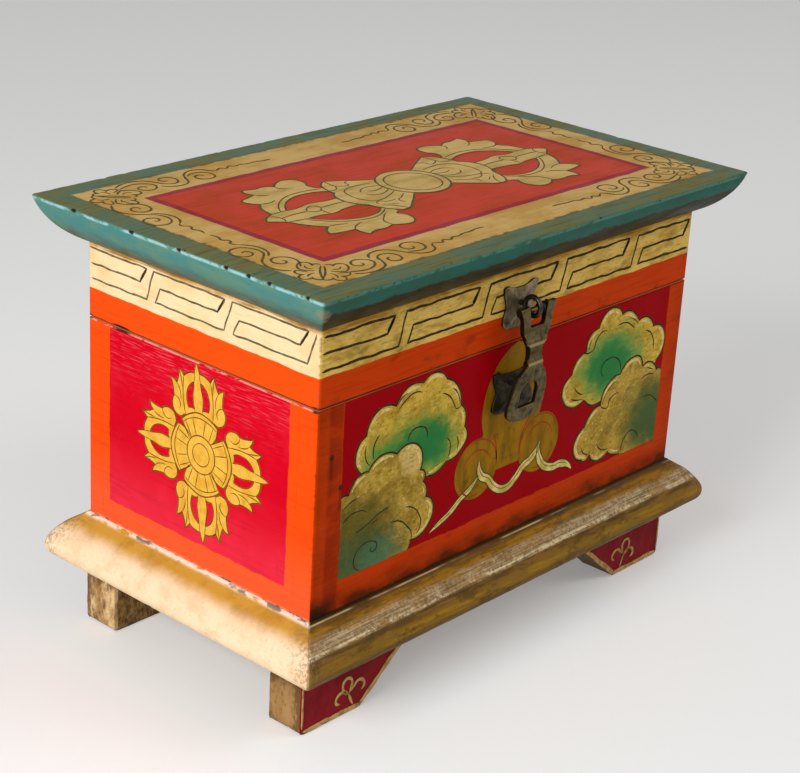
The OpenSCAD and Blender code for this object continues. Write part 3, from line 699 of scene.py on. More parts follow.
def added(name, bm, body, material, smooth=False):
    """Object made of a bmesh, riding on a body."""
    bmesh.ops.recalc_face_normals(bm, faces=bm.faces)
    mesh = bpy.data.meshes.new(name)
    bm.to_mesh(mesh)
    bm.free()
    mesh.materials.append(material)
    if smooth:
        mesh.shade_smooth()
    made = linked(name, mesh)
    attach(made, body)
    return made


class Layer:
    """Paint laid on one face of the chest, with real thickness."""

    def __init__(self, face, body="chest", slot="body_paint"):
        self.place = FACES[face]
        self.body, self.slot = body, slot
        self.bm = bmesh.new()

    def vert(self, u, v, h):
        return self.bm.verts.new(Vector(self.place(u, v, h)) * MM)

    def fill(self, outline, holes=(), *, height):
        """Flat coat inside an outline and outside its holes."""
        loops = []
        for loop in (outline, *holes):
            kept = [p for p, q in zip(loop, [loop[-1], *loop[:-1]]) if (p - q).length > 0.02]
            loops.append([Vector((p[0], p[1], 0)) for p in kept])
        flat = [p for loop in loops for p in loop]
        tops = [self.vert(p.x, p.y, height) for p in flat]
        feet = [self.vert(p.x, p.y, -SINK) for p in flat]
        for a, b, c in tessellate_polygon(loops):
            self.bm.faces.new((tops[a], tops[b], tops[c]))
            self.bm.faces.new((feet[c], feet[b], feet[a]))
        first = 0
        for loop in loops:
            for k in range(len(loop)):
                a, b = first + k, first + (k + 1) % len(loop)
                self.bm.faces.new((tops[a], feet[a], feet[b], tops[b]))
            first += len(loop)

    def line(self, points, width, height=0.11, closed=False, shake=0.12, taper=2.0):
        """Brush line. It thins over a length of taper at both ends and wavers by shake."""
        kept = [points[0]]
        for p in points[1:]:
            if (p - kept[-1]).length > CLOSEST:
                kept.append(p)
        if closed and (kept[0] - kept[-1]).length < CLOSEST:
            kept.pop()
        count = len(kept)
        lengths = [0.0]
        for a, b in zip(kept, kept[1:]):
            lengths.append(lengths[-1] + (b - a).length)
        rings = []
        for i, p in enumerate(kept):
            ahead = kept[(i + 1) % count] if closed else kept[min(i + 1, count - 1)]
            behind = kept[i - 1] if closed or i else kept[0]
            along = (ahead - behind).normalized()
            across = Vector((-along.y, along.x))
            seed = Vector((p.x * 0.17, p.y * 0.17, lengths[-1]))
            p = p + across * noise.noise(seed) * shake
            end = min(lengths[i], lengths[-1] - lengths[i])
            thin = 1.0 if closed else TIP + (1 - TIP) * min(1.0, end / taper)
            half = width / 2 * thin * (1 + 0.35 * noise.noise(seed * 2.3))
            ring = [(half, -SINK), (half * FLAT, height), (-half * FLAT, height), (-half, -SINK)]
            rings.append([self.vert(*(p + across * s), h) for s, h in ring])
        skin(self.bm, rings, closed)

    def strokes(self, lines, width, move=list, **brush):
        """Brush lines through lists of places, each smooth line moved to where it belongs."""
        for points in lines:
            self.line(move(flow(points)), width, **brush)

    def piece(self, name, material):
        return added(name, self.bm, self.body, material)


# ---- Worn wood ----

def wobble(spot, size, seed=0.0):
    """Smooth noise of -1 to 1 whose waves are about size long."""
    return noise.noise(Vector(spot) / size + Vector((seed, seed, seed)))


def hump(value, middle, half_width):
    """Round hump of 1 at middle that ends half_width to each side."""
    return max(0.0, 1 - ((value - middle) / half_width) ** 2)


def side_spot(side, along, out, z, corner_r):
    """Place on a moulding: side 0 front, 1 right, 2 back, 3 left; along is -1 to 1 between mitres."""
    run, across = (HALF_W, HALF_D) if side % 2 == 0 else (HALF_D, HALF_W)
    to_mitre, inward = (1 - abs(along)) * (run + out), 0.0
    if to_mitre < corner_r:
        turn = (1 - to_mitre / corner_r) * math.pi / 4
        to_mitre = corner_r * (1 - math.sin(turn))
        inward = corner_r * (1 - math.cos(turn))
    flat = Vector((math.copysign(run + out - to_mitre, along), inward - across - out))
    spot = Matrix.Rotation(side * math.pi / 2, 2) @ flat
    return Vector((spot.x, spot.y, z))


def lid_edge_profile():
    """Distance past the rails and height of the slab's edge, from underneath to the top."""
    reach, step, radius = SLAB_X - HALF_W, 0.4, 25.6
    steps, last_back, last_down = 14, 0.3, 1.2
    chord = Vector((reach - step, Z_TOP - Z_SLAB))
    sink = math.sqrt(radius ** 2 - (chord.length / 2) ** 2)
    inward = Vector((-chord.y, chord.x)).normalized()
    centre = Vector((step, Z_SLAB)) + chord / 2 + inward * sink
    first = math.atan2(Z_SLAB - centre.y, step - centre.x)
    last = math.atan2(Z_TOP - last_down - centre.y, reach - last_back - centre.x)
    turns = [first + (last - first) * k / steps for k in range(steps + 1)]
    curve = [(centre.x + radius * math.cos(a), centre.y + radius * math.sin(a)) for a in turns]
    crest = [(reach - back, Z_TOP - down) for back, down in
             ((0.08, 0.7), (0.16, 0.3), (0.45, 0.06), (1.0, 0), (2.0, 0), (8.0, 0))]
    return curve + crest


# Places along a long side and along an end, and corner radius as a share of the reach
SLAB_STEPS, SLAB_CORNER = (280, 170), 0.08
PLINTH_STEPS, PLINTH_CORNER = (220, 130), 0.12
# Crest of the slab: depth of its middle under the top, half height and reach inwards; and a dent's
# half length and depth
CREST_DROP, CREST_HALF, CREST_IN = 0.5, 1.8, 1.2
DENT_HALF, DENT_DEPTH = 1.9, 0.8


def crest_wear(spot, out):
    """How far the slab's crest is rubbed, chipped and dented at a place."""
    near_crest = SLAB_X - HALF_W - out < CREST_IN
    on_crest = max(0.0, 1 - abs(spot.z - Z_TOP + CREST_DROP) / CREST_HALF) if near_crest else 0.0
    rub = 0.14 + 0.16 * wobble(spot, 9) + 0.14 * wobble(spot, 2.5, 5)
    chip = 2.0 * max(0.0, wobble(spot, 4, 11) - 0.46)
    dent = sum(hump(spot.y, y, DENT_HALF) for y in DENTS) if spot.x < -HALF_W else 0.0
    return on_crest * max(0.0, rub + chip + DENT_DEPTH * dent)


def add_slab(material):
    """The lid's slab, its crest rubbed, dented and chipped."""
    bm = bmesh.new()
    rings = []
    for out, z in lid_edge_profile():
        corner_r = SLAB_CORNER * out
        ring = []
        for side in range(4):
            steps = SLAB_STEPS[side % 2]
            for k in range(steps):
                along = 2 * k / steps - 1
                wear = crest_wear(side_spot(side, along, out, z, corner_r), out)
                spot = side_spot(side, along, out - wear, z - wear / 2, corner_r)
                ring.append(bm.verts.new(spot * MM))
        rings.append(ring)
    skin(bm, rings, smooth=lambda k: True)
    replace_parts(added("slab_worn", bm, "lid", material), "lid_slab")


# The plinth's nose as distance past the body and height over the plinth's foot, and its inner ledge
PLINTH_H = Z_BODY - Z_PLINTH
LEDGE = 17
PLINTH_NOSE = [(3.0, 0.0), (7.6, 0.1), (9.9, 0.8), (11.7, 2.2), (12.75, 4.0), (13.0, 5.9), (12.6, 8.2),
               (11.3, 10.8), (9.2, 13.6), (6.4, 16.4), (3.0, 18.8), (0.2, PLINTH_H)]


def nose_wear(spot, out):
    """How far the plinth's nose is planed unevenly and knocked at a place."""
    if out <= 0:
        return 0.0
    share = min(1.0, out / 6)
    waves = 0.16 + 0.14 * wobble(spot, 26) + 0.1 * wobble(spot, 7, 3) + 0.05 * wobble(spot, 2.2, 9)
    knock = 1.5 * max(0.0, wobble(spot, 5, 17) - 0.5)
    return share * max(0.0, waves + knock)


def add_plinth(material):
    """Four mitred mouldings with a hand-planed nose."""
    nose = [tuple(p) for p in flow(PLINTH_NOSE, pitch=0.8)]
    profile = [(-LEDGE, 0.0), *nose, (-LEDGE, PLINTH_H)]
    on_nose = range(1, len(profile) - 2)
    for side, name in enumerate(("front", "right", "back", "left")):
        bm = bmesh.new()
        steps = PLINTH_STEPS[side % 2]
        rings = []
        for k in range(steps + 1):
            along = 2 * k / steps - 1
            ring = []
            for out, up in profile:
                corner_r = PLINTH_CORNER * max(0.0, out)
                wear = nose_wear(side_spot(side, along, out, Z_PLINTH + up, corner_r), out)
                spot = side_spot(side, along, out - wear, Z_PLINTH + up, corner_r)
                ring.append(bm.verts.new(spot * MM))
            rings.append(ring)
        skin(bm, rings, smooth=lambda k: k in on_nose)
        piece = added("plinth_worn_" + name, bm, "chest", material)
        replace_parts(piece, "plinth_" + name)


# Facets of a worn foot and of a casting
FOOT_FACET, CAST_FACET = 0.75, 0.3


def sculpted(name, node, body, material, facet, height):
    """Copy of a CAD node in fine, softened facets, its skin moved out by height(place, normal)."""
    rough = linked(name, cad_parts[node].data.copy())
    remesh = rough.modifiers.new("fine", "REMESH")
    remesh.mode = "VOXEL"
    remesh.voxel_size = facet * MM
    rough.modifiers.new("soft", "SMOOTH").iterations = 2
    depsgraph = bpy.context.evaluated_depsgraph_get()
    mesh = bpy.data.meshes.new_from_object(rough.evaluated_get(depsgraph))
    bpy.data.objects.remove(rough)
    bm = bmesh.new()
    bm.from_mesh(mesh)
    bm.normal_update()
    moves = [(v, v.normal * height(v.co / MM, v.normal) * MM) for v in bm.verts]
    for vert, move in moves:
        vert.co += move
    piece = added(name, bm, body, material, smooth=True)
    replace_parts(piece, node)
    return piece


# Radius of the worn lower corner of a foot
FOOT_ROUND = 3.0


def foot_wear(spot, normal):
    """How far a foot's skin is rubbed in at a place, most round its lower outer edge."""
    past = max(0.0, FOOT_ROUND - FOOT_X + abs(spot.x))
    corner = math.hypot(past, max(0.0, FOOT_ROUND - spot.z)) - FOOT_ROUND
    knock = 1.2 * max(0.0, wobble(spot, 4, 8) - 0.52)
    return -max(0.0, corner) - 0.2 + 0.1 * wobble(spot, 6) + 0.06 * wobble(spot, 2, 4) - knock


# ---- Cast metal ----

# On the link: half width and half height of its lobe and of its slot, and the heights of the lobe's
# middle, of its shoulder, of the point its flutes fan out from, of its knob and of its two eyes
LOBE, SLOT = (10.6, 12), (5.2, 5.5)
LOBE_Z, SHOULDER_Z, FAN_Z, KNOB_Z, EYE_Z = 110.8, 119, 128, 102.6, 136.4
# Pitch of the beads and of the flutes across the link, and how far its eyes are from its middle
BEAD, FLUTE, EYE_X = 1.25, 2.5, 3.2


def link_relief(spot, normal):
    """Beaded collars, flutes, and rims round the lobe and its slot, on the front of the link."""
    u, z = spot.x - HASP_X, spot.z
    front = max(0.0, -normal.y)
    beads = 0.8 + 0.2 * math.cos(2 * math.pi * u / BEAD)
    rise = sum(hump(z, c, 1.0) for c in COLLARS) * beads * (0.75 * front + 0.4 * abs(normal.x))
    if COLLARS[1] + 1 < z < COLLARS[0] - 1:
        rise += 0.22 * front * math.cos(2 * math.pi * u / FLUTE)
    fan = math.atan2(u, FAN_Z - z)
    rise += 0.2 * front * hump(z, SHOULDER_Z, 3.4) * math.cos(16 * fan)
    lobe = math.hypot(u / LOBE[0], (z - LOBE_Z) / LOBE[1])
    rise += 0.3 * front * hump(lobe, 0.9, 0.1) * (z < SHOULDER_Z)
    slot = max(abs(u) / SLOT[0], abs(z - SLOT_Z) / SLOT[1])
    rise += 0.28 * front * hump(slot, 1.12, 0.14)
    knob = math.hypot(u, z - KNOB_Z)
    rise += 0.5 * front * hump(knob, 0, 1.7)
    eye = math.hypot(abs(u) - EYE_X, (z - EYE_Z) * 1.3)
    rise -= 0.2 * front * hump(eye, 2.2, 0.5)
    return rise + 0.05 * wobble(spot, 1.6)


def draw_in_waist(link):
    """Narrows the link between and just past its collars, like a turned baluster."""
    middle, half_z = (COLLARS[0] + COLLARS[1]) / 2, 8.5
    for vert in link.data.vertices:
        share = 0.3 * hump(vert.co.z / MM, middle, half_z)
        vert.co.x += (HASP_X * MM - vert.co.x) * share


def plate_relief(node):
    """Ridges from a middle boss out to the four horns of a plate."""
    low, high = span(node)
    middle_z, half_w, half_h = (low[2] + high[2]) / 2, (high[0] - low[0]) / 2, (high[2] - low[2]) / 2

    def relief(spot, normal):
        u, v = abs(spot.x - HASP_X) / half_w, abs(spot.z - middle_z) / half_h
        front = max(0.0, -normal.y)
        ridge = 0.45 * hump(u - v, 0, 0.3) * min(1.0, u + v)
        return front * (ridge + 0.35 * hump(math.hypot(u, v), 0, 0.45)) + 0.04 * wobble(spot, 1.5)
    return relief


def add_castings(link_metal, ring_metal, staple_shaded_metal):
    """The hasp's link and its two horned plates."""
    link = sculpted("hasp_link_cast", "hasp_link", "hasp", link_metal, CAST_FACET,
                    link_relief)
    draw_in_waist(link)
    for node, body, material in (("ring_plate", "lid", ring_metal),
                                 ("staple_plate", "chest", staple_shaded_metal)):
        sculpted(node + "_cast", node, body, material, CAST_FACET, plate_relief(node))


# ---- Camera, light and floor ----

# Where the camera looks, how far off it stands, its angles in degrees and its lens
CAMERA_TARGET = Vector((0.97, -1.13, 90.78)) * MM
CAMERA_DISTANCE = 0.8244
CAMERA_AZIMUTH, CAMERA_ELEVATION, CAMERA_ROLL = -48.833, 22.170, 3.334
CAMERA_LENS = 90.987


def add_camera():
    """The photo's camera."""
    azimuth, elevation = math.radians(CAMERA_AZIMUTH), math.radians(CAMERA_ELEVATION)
    back = Vector((math.sin(azimuth) * math.cos(elevation),
                   -math.cos(azimuth) * math.cos(elevation), math.sin(elevation)))
    right = Vector((0, 0, 1)).cross(back).normalized()
    axes = Matrix((right, back.cross(right), back)).transposed().to_4x4()
    roll = Matrix.Rotation(math.radians(CAMERA_ROLL), 4, "Z")
    camera = linked("camera", bpy.data.cameras.new("camera"))
    camera.data.lens = CAMERA_LENS
    camera.data.sensor_width = 36
    camera.matrix_world = Matrix.Translation(CAMERA_TARGET + back * CAMERA_DISTANCE) @ axes @ roll
    bpy.context.scene.camera = camera


def add_light(name, direction, distance, size, watts):
    """Square lamp on the side of the chest that direction points to."""
    lamp = linked(name, bpy.data.lights.new(name, "AREA"))
    lamp.data.size = size
    lamp.data.energy = watts
    aim = Vector(direction).normalized()
    turn = aim.to_track_quat("Z", "Y").to_matrix().to_4x4()
    lamp.matrix_world = Matrix.Translation(CAMERA_TARGET + aim * distance) @ turn


def seen_only(tree):
    """1 for what the camera sees, straight or in a reflection or through glass."""
    path = tree.nodes.new("ShaderNodeLightPath")
    seen = path.outputs["Is Camera Ray"]
    for name in ("Is Glossy Ray", "Is Transmission Ray"):
        largest = tree.nodes.new("ShaderNodeMath")
        largest.operation = "MAXIMUM"
        tree.links.new(seen, largest.inputs[0])
        tree.links.new(path.outputs[name], largest.inputs[1])
        seen = largest.outputs[0]
    return seen


def add_world(light, shown):
    """Even white light from all round, of strength light, that looks as bright as shown."""
    world = bpy.data.worlds.new("studio")
    bpy.context.scene.world = world
    world.use_nodes = True
    tree = world.node_tree
    strength = tree.nodes.new("ShaderNodeMapRange")
    strength.inputs["To Min"].default_value = light
    strength.inputs["To Max"].default_value = shown
    tree.links.new(seen_only(tree), strength.inputs["Value"])
    background = tree.nodes["Background"]
    background.inputs["Color"].default_value = (1, 1, 1, 1)
    tree.links.new(strength.outputs[0], background.inputs["Strength"])


def add_floor(glow):
    """Pale floor that the camera sees brighter by glow, so that it runs into the background."""
    bm = bmesh.new()
    bmesh.ops.create_grid(bm, x_segments=1, y_segments=1, size=9)
    mesh = bpy.data.meshes.new("floor")
    bm.to_mesh(mesh)
    floor = linked("floor", mesh)
    material = bpy.data.materials.new("floor")
    material.use_nodes = True
    tree = material.node_tree
    shader = tree.nodes["Principled BSDF"]
    for socket, value in (("Base Color", (0.8, 0.8, 0.79, 1)), ("Roughness", 0.9),
                          ("Emission Color", (1, 1, 1, 1))):
        shader.inputs[socket].default_value = value
    share = tree.nodes.new("ShaderNodeMath")
    share.operation = "MULTIPLY"
    share.inputs[1].default_value = glow
    tree.links.new(seen_only(tree), share.inputs[0])
    tree.links.new(share.outputs[0], shader.inputs["Emission Strength"])
    mesh.materials.append(material)


# ---- Key fret ----

def clipped(corners, limit, pitch=1.4):
    """A line with straight parts, cut where it leaves -limit to limit. Gives the parts left."""
    parts, part = [], []
    for a, b in zip(corners, corners[1:]):
        a, b = Vector(a), Vector(b)
        steps = max(1, round((b - a).length / pitch))
        for k in range(steps):
            p = a.lerp(b, k / steps)
            if abs(p.x) < limit:
                part.append(p)
            elif part:
                parts.append(part)
                part = []
    return [p for p in parts + [part] if len(p) > 1]


def fret(layer, half, period, first, levels, gap, width):
    """Slanted key meander between two corners. first is the first up-stroke's top."""
    low, mid, top = levels
    lean, hook, foot = 3.7, 3.6, 1.0
    margin, end_margin, key_margin = 0.9, 1.5, 2.4
    corners = []
    for k in range(math.ceil((half - first) / period)):
        u = first + k * period
        far = u + period - gap
        if u < half - 20:
            far = min(far, half - key_margin)
        corners += [(u - lean, low), (u, top), (far, top), (far - hook, mid), (u + lean, mid),
                    (u + foot, low)]
        end = flow([(far + 0.1, top), (far - hook - 0.2, mid)], pitch=1.2)
        if abs(end[0].x) < half - end_margin:
            layer.line(end, 1.5 * width, shake=0.1, taper=0.8)
    corners.append((half + 5, low))
    for part in clipped(corners, half - margin):
        layer.line(part, width, shake=0.5, taper=1.0)


def add_frets(long_ink, end_ink):
    """The fret round the lid: half length, key's length, first key, levels, gap and line width."""
    on_long = (HALF_W, 46.2, -112.6, (144.2, 150.4, 156.6), 6.2, 1.15)
    on_end = (HALF_D, 41.75, -66.0, (145.7, 151.7, 157.6), 3.8, 0.9)
    for face, sizes, ink in (("front", on_long, long_ink), ("back", on_long, long_ink),
                             ("left", on_end, end_ink), ("right", on_end, end_ink)):
        layer = Layer(face, "lid", "rail_paint")
        fret(layer, *sizes)
        layer.piece(face + "_fret", ink)


# ---- Front: clouds, jewel and ribbons ----

# Clouds on the front. Each lobe is a smooth part, and the lobes meet in cusps
CLOUD_A = runs(
    [(-86.5, 99.5), (-90, 106), (-84.5, 113.5)], [(-82.5, 119), (-75, 122.5), (-69.3, 120.8)],
    [(-65, 126), (-59, 127.2), (-55, 126.2)], [(-50, 128.6), (-44.5, 127.3), (-42, 124.3)],
    [(-35.5, 120), (-32.7, 111.5)], [(-29.6, 107), (-30, 102)], [(-27.8, 98), (-31, 92.6), (-39.5, 90)],
    [(-44.6, 87.2), (-50.8, 87.2)])
CLOUD_A_LINES = [
    [(-84.5, 109.5), (-84.5, 105), (-82, 101)], [(-77.5, 112), (-80, 109), (-80, 103)],
    [(-62, 105), (-60.5, 108), (-56, 109), (-52, 107), (-51.5, 103.5)],
    [(-68.5, 121), (-66, 123.5), (-63.5, 124.3)], [(-68, 119), (-64, 122), (-60, 123.5), (-55.5, 122.5)],
    [(-44, 119), (-40, 117), (-37, 113), (-36, 111)], [(-38, 119.5), (-35, 116.5), (-33.5, 112)],
    [(-40, 100), (-38, 98), (-37.5, 95), (-38.5, 91.5)], [(-34, 99), (-33, 96), (-33.5, 93)],
    [(-36, 111), (-34, 110.6), (-32.7, 111.5)]]
CLOUD_B = runs(
    [(-96.2, 92.5), (-94, 93), (-92.5, 92.5)], [(-89.5, 97.5), (-82.5, 99)],
    [(-78, 102.8), (-72, 103.5), (-67.5, 101.5)], [(-61, 103.7), (-54.5, 100), (-53.2, 94), (-54, 91)],
    [(-51.2, 89), (-52, 85.8)], [(-49.8, 83), (-49.8, 79)], [(-45.6, 75.5), (-45.2, 71), (-47.5, 66.5)],
    [(-51.5, 63.5), (-57.3, 63.1)], [(-57.6, 61), (-59, 59.4)])
CLOUD_B_LINES = [
    [(-95, 82), (-92, 84), (-88, 84.6), (-84, 83.8), (-82.3, 82.5)], [(-80, 77), (-76, 78)],
    [(-95.5, 87), (-92, 89), (-88, 90)], [(-88, 76), (-82, 77.5), (-76, 80), (-70, 81)],
    [(-61, 78), (-57, 76.5), (-53.5, 73), (-52, 69), (-54, 64.5)],
    [(-69, 74), (-64, 73.3), (-60, 70), (-57, 66), (-57, 63.5)],
    [(-85, 60), (-88, 63), (-87.5, 67), (-84, 69.8), (-79, 70), (-76, 67.5), (-77.3, 65.4),
     (-79.3, 66), (-79, 67.8)]]
CLOUD_C = runs(
    [(45, 92.3), (38, 90.7), (31.5, 94.5), (29.9, 99.5), (35.5, 105.5)], [(37.5, 110.5), (43.7, 113.5)],
    [(45, 119), (51, 122)], [(54, 126.8), (60, 128.6), (66.5, 124.2)],
    [(70.5, 124.8), (75.5, 122.5), (78.8, 118.8)], [(83.5, 119.2), (87.5, 117), (89.5, 113.6)],
    [(94.5, 113), (98.3, 108.5), (98.6, 102.5), (94, 97.3)])
CLOUD_C_HEM = runs([(56.5, 88.5), (51, 88.3), (46, 91.5)], [(45, 92.3)])
CLOUD_C_LINES = [
    [(42, 113.5), (46, 112.5), (48.3, 113), (50, 117), (54, 119.8), (56.5, 119.5)],
    [(45.5, 114), (45.8, 116.5), (47, 118.5)], [(64, 119.7), (70, 119.8), (74, 117.5), (76, 116)],
    [(73, 121), (76.5, 119), (78, 117.5)],
    [(57.5, 99.5), (55.3, 101.5), (56, 105), (60, 106.5), (65, 105.5), (68, 102.5), (68.8, 99)],
    [(38, 99.5), (40, 97), (44, 95)], [(36, 95), (40, 93.5), (44, 93)],
    [(84, 113), (88, 111), (90.5, 107), (91, 103)]]
CLOUD_D = runs(
    [(98.6, 92), (96.5, 93.2), (95, 92.7)], [(91.5, 97), (84.5, 97)], [(82, 101.8), (76, 102.7), (69, 97.3)],
    [(62, 95.8), (57.8, 91), (57, 86.5)], [(54, 86.4), (49.5, 83.5), (47.5, 79.8)],
    [(43, 77), (40.8, 71.5), (42.6, 67), (47, 64.9)], [(50, 63.8), (52.5, 65.7)],
    [(55, 62.4), (60, 61.2), (65.2, 63.5)], [(69, 61), (74, 60.3)])
CLOUD_D_LINES = [
    [(75, 61), (76, 66), (80, 68.7), (84, 67.5), (86.5, 64.5)], [(46.5, 70.5), (48.5, 67.5), (52, 66.5)],
    [(57, 69.5), (60, 66), (65, 65)], [(87, 82), (91, 82.2), (95, 80), (98, 77.5)],
    [(57, 86.5), (59.5, 84.6), (61.5, 84.2), (63, 87.5), (67, 89.2), (69, 89)],
    [(58.5, 87), (61, 92), (66, 94.5)], [(84.5, 91), (88, 92), (93, 91.3)], [(88, 95.3), (93, 93.5)]]

# Jewel behind the hasp, between its two discs
EGG = runs([(-16.5, 92), (-19.6, 101), (-19.2, 108), (-16.5, 116), (-12, 122.5), (-1, 129)],
           [(9.5, 124), (14.2, 118), (17, 110), (17.4, 103), (15, 92)])
DISCS = ((-21, 81.5, 12.6), (17, 82, 12.6))
JEWEL_ARCS = [
    circle(-21, 80.5, 8.6, 20, 165), circle(17, 81.5, 8.6, 15, 165),
    circle(-21, 80.5, 10.2, 190, 290), circle(17, 81.5, 10.4, 250, 345),
    flow([(-9.4, 79), (-9.6, 87), (-13, 95)]), flow([(4.6, 80), (5.6, 88), (11, 96)]),
    circle(-21, 81.5, 12.0, 350, 480), circle(17, 82, 12.0, 20, 190)]
RIBBONS = (
    ([(-46.5, 62.5), (-42, 64.5), (-35, 67.5), (-30, 71), (-24, 74), (-19, 78.5)], 2.6),
    ([(-19.5, 84.5), (-18, 78), (-13, 74.5), (-10.5, 71.5), (-5, 68), (-1, 67.7), (4, 70.5), (8, 74),
      (13, 76), (18, 82)], 3.6),
    ([(17.5, 81), (18.5, 74), (22, 70), (27, 68), (33, 67.8), (37, 66.4), (40.5, 63.2)], 3.6))


def band(points, width, taper):
    """The two sides of a ribbon that narrows over a length of taper at each end."""
    left, right = [], []
    for i, p in enumerate(points):
        along = (points[min(i + 1, len(points) - 1)] - points[max(i - 1, 0)]).normalized()
        end = min((p - points[0]).length, (p - points[-1]).length)
        half = width / 2 * (0.12 + 0.88 * min(1.0, end / taper) ** 0.7)
        across = Vector((-along.y, along.x)) * half
        left.append(p + across)
        right.append(p - across)
    return left, right


# A line that turns by more than this has a cusp there
CUSP = math.radians(40)


def rim_strokes(outline, inset, shortest=5.0):
    """Brush strokes just inside an outline, to the right of its run, one for each lobe."""
    lobes, lobe = [], [outline[0]]
    for before, here, after in zip(outline, outline[1:], outline[2:]):
        lobe.append(here)
        if (after - here).angle(here - before, 0.0) > CUSP:
            lobes.append(lobe)
            lobe = [here]
    strokes = []
    for lobe in lobes + [lobe + [outline[-1]]]:
        if sum((b - a).length for a, b in zip(lobe, lobe[1:])) > shortest:
            stroke = []
            for a, b in zip(lobe[2:-2], lobe[3:-1]):
                along = (b - a).normalized()
                stroke.append(a + Vector((along.y, -along.x)) * inset)
            strokes.append(stroke)
    return [stroke for stroke in strokes if len(stroke) > 4]


# Glazes of the clouds from the first to the last: middle along X and Z, reach along X and Z,
# colour and strength. The upper clouds are green inside, the lower ones teal at a corner
CLOUD_POOLS = {
    "upper": ((-59, 99, 37, 21, (146, 160, 60), 0.7), (-60, 99, 31, 16, (70, 142, 62), 0.9),
              (-54, 101, 20, 12, (24, 122, 62), 0.85), (61, 104, 31, 21, (150, 164, 66), 0.7),
              (61, 105, 25, 17, (66, 148, 74), 0.9), (60, 104, 17, 12, (24, 122, 60), 0.8)),
    "lower": ((-58, 98, 9, 9, (238, 206, 128), 0.6), (-92, 76, 34, 19, (88, 82, 26), 0.85),
              (-84, 62, 30, 17, (60, 92, 54), 0.85), (-76, 64, 13, 9, (76, 126, 92), 0.55),
              (92, 74, 27, 22, (98, 102, 44), 0.8), (94, 72, 18, 18, (58, 92, 48), 0.8))}
CLOUD_GOLD = {"upper": (rgb(218, 180, 66), rgb(190, 148, 40)),
              "lower": (rgb(196, 160, 60), rgb(158, 126, 40))}


def cloud_paint(name):
    """Stippled gold under its pools of glaze."""
    f = Finish("cloud_" + name, Specular_IOR_Level=0.04)
    stipple = f.noise(1.3, (1.4, 1, 1), detail=5, rough=0.75)
    patches = f.noise(8, detail=4, shift=3)
    strokes = f.noise(1.0, (5, 1, 1), detail=3, shift=7)
    shake = (f.noise(6, detail=4, shift=6) - 0.5) * 1.1
    pools = []
    for x, z, reach_x, reach_z, tint, amount in CLOUD_POOLS[name]:
        across, up = (f.x - x) * (1 / reach_x), (f.z - z) * (1 / reach_z)
        inside = (across * across + up * up + shake).rise(1.0, 0.1)
        pools.append((inside * amount, rgb(*tint)))
    colour = f.coats(
        f.mix(patches.rise(0.4, 0.65), *CLOUD_GOLD[name]),
        (stipple.rise(0.5, 0.66) * 0.55, rgb(146, 108, 24)),
        (stipple.rise(0.46, 0.34) * 0.5, rgb(240, 214, 138)), *pools,
        (strokes.rise(0.52, 0.7) * 0.3, rgb(84, 78, 26)),
        (stipple.rise(0.58, 0.68) * 0.6, rgb(78, 60, 18)))
    return f.finish(colour, patches.rise(0.3, 0.8) * 0.2 + 0.34, stipple, 0.06)


# Widths of the clouds' outlines, of their pale rims and of their inner lines, and how far inside
# the outline a rim runs
CLOUD_OUTLINE, CLOUD_RIM_W, CLOUD_INNER, RIM_INSET = 1.0, 2.2, 0.75, 1.6


def add_clouds(ink, rim_paint):
    """Two pairs of clouds. Each outline is closed along the frame, and its rim lies inside."""
    low, left, right = 59.6, -96.2, 98.6
    upper = ((CLOUD_A, [(-62, 92), (-78, 96)], 1), (CLOUD_C, [(90, 92), (60, 86)], 1))
    lower = ((CLOUD_B, [(-59, low), (left, low)], 1), (CLOUD_D, [(74, low), (right, low)], -1))
    lines = Layer("front")
    for name, height, clouds in (("upper", 0.05, upper), ("lower", 0.08, lower)):
        cloud, rims = Layer("front"), Layer("front")
        for outline, closing, way in clouds:
            hem = CLOUD_C_HEM if outline is CLOUD_C else []
            cloud.fill(outline + [Vector(p) for p in closing] + hem, height=height)
            lines.line(outline, CLOUD_OUTLINE, height=height + 0.07, shake=0.2)
            for stroke in rim_strokes(outline, way * RIM_INSET):
                rims.line(stroke, CLOUD_RIM_W, height=height + 0.03, taper=4.0, shake=0.3)
        cloud.piece("front_clouds_" + name, cloud_paint(name))
        rims.piece("front_cloud_rims_" + name, rim_paint)
    lines.line(CLOUD_C_HEM, CLOUD_OUTLINE, height=0.13)
    lines.strokes(CLOUD_A_LINES + CLOUD_B_LINES + CLOUD_C_LINES + CLOUD_D_LINES, CLOUD_INNER,
                  height=0.14)
    lines.piece("front_cloud_lines", ink)


# The jewel's lower part behind the discs, and the widths of its red arcs, of the ribbons' edges
# and of the fold along their middle
JEWEL_FOOT = [Vector(p) for p in ((-22, 77.5), (18, 77.5), (16, 96), (-18, 96))]
ARC, RIBBON_EDGE, RIBBON_FOLD = 1.1, 0.6, 0.4


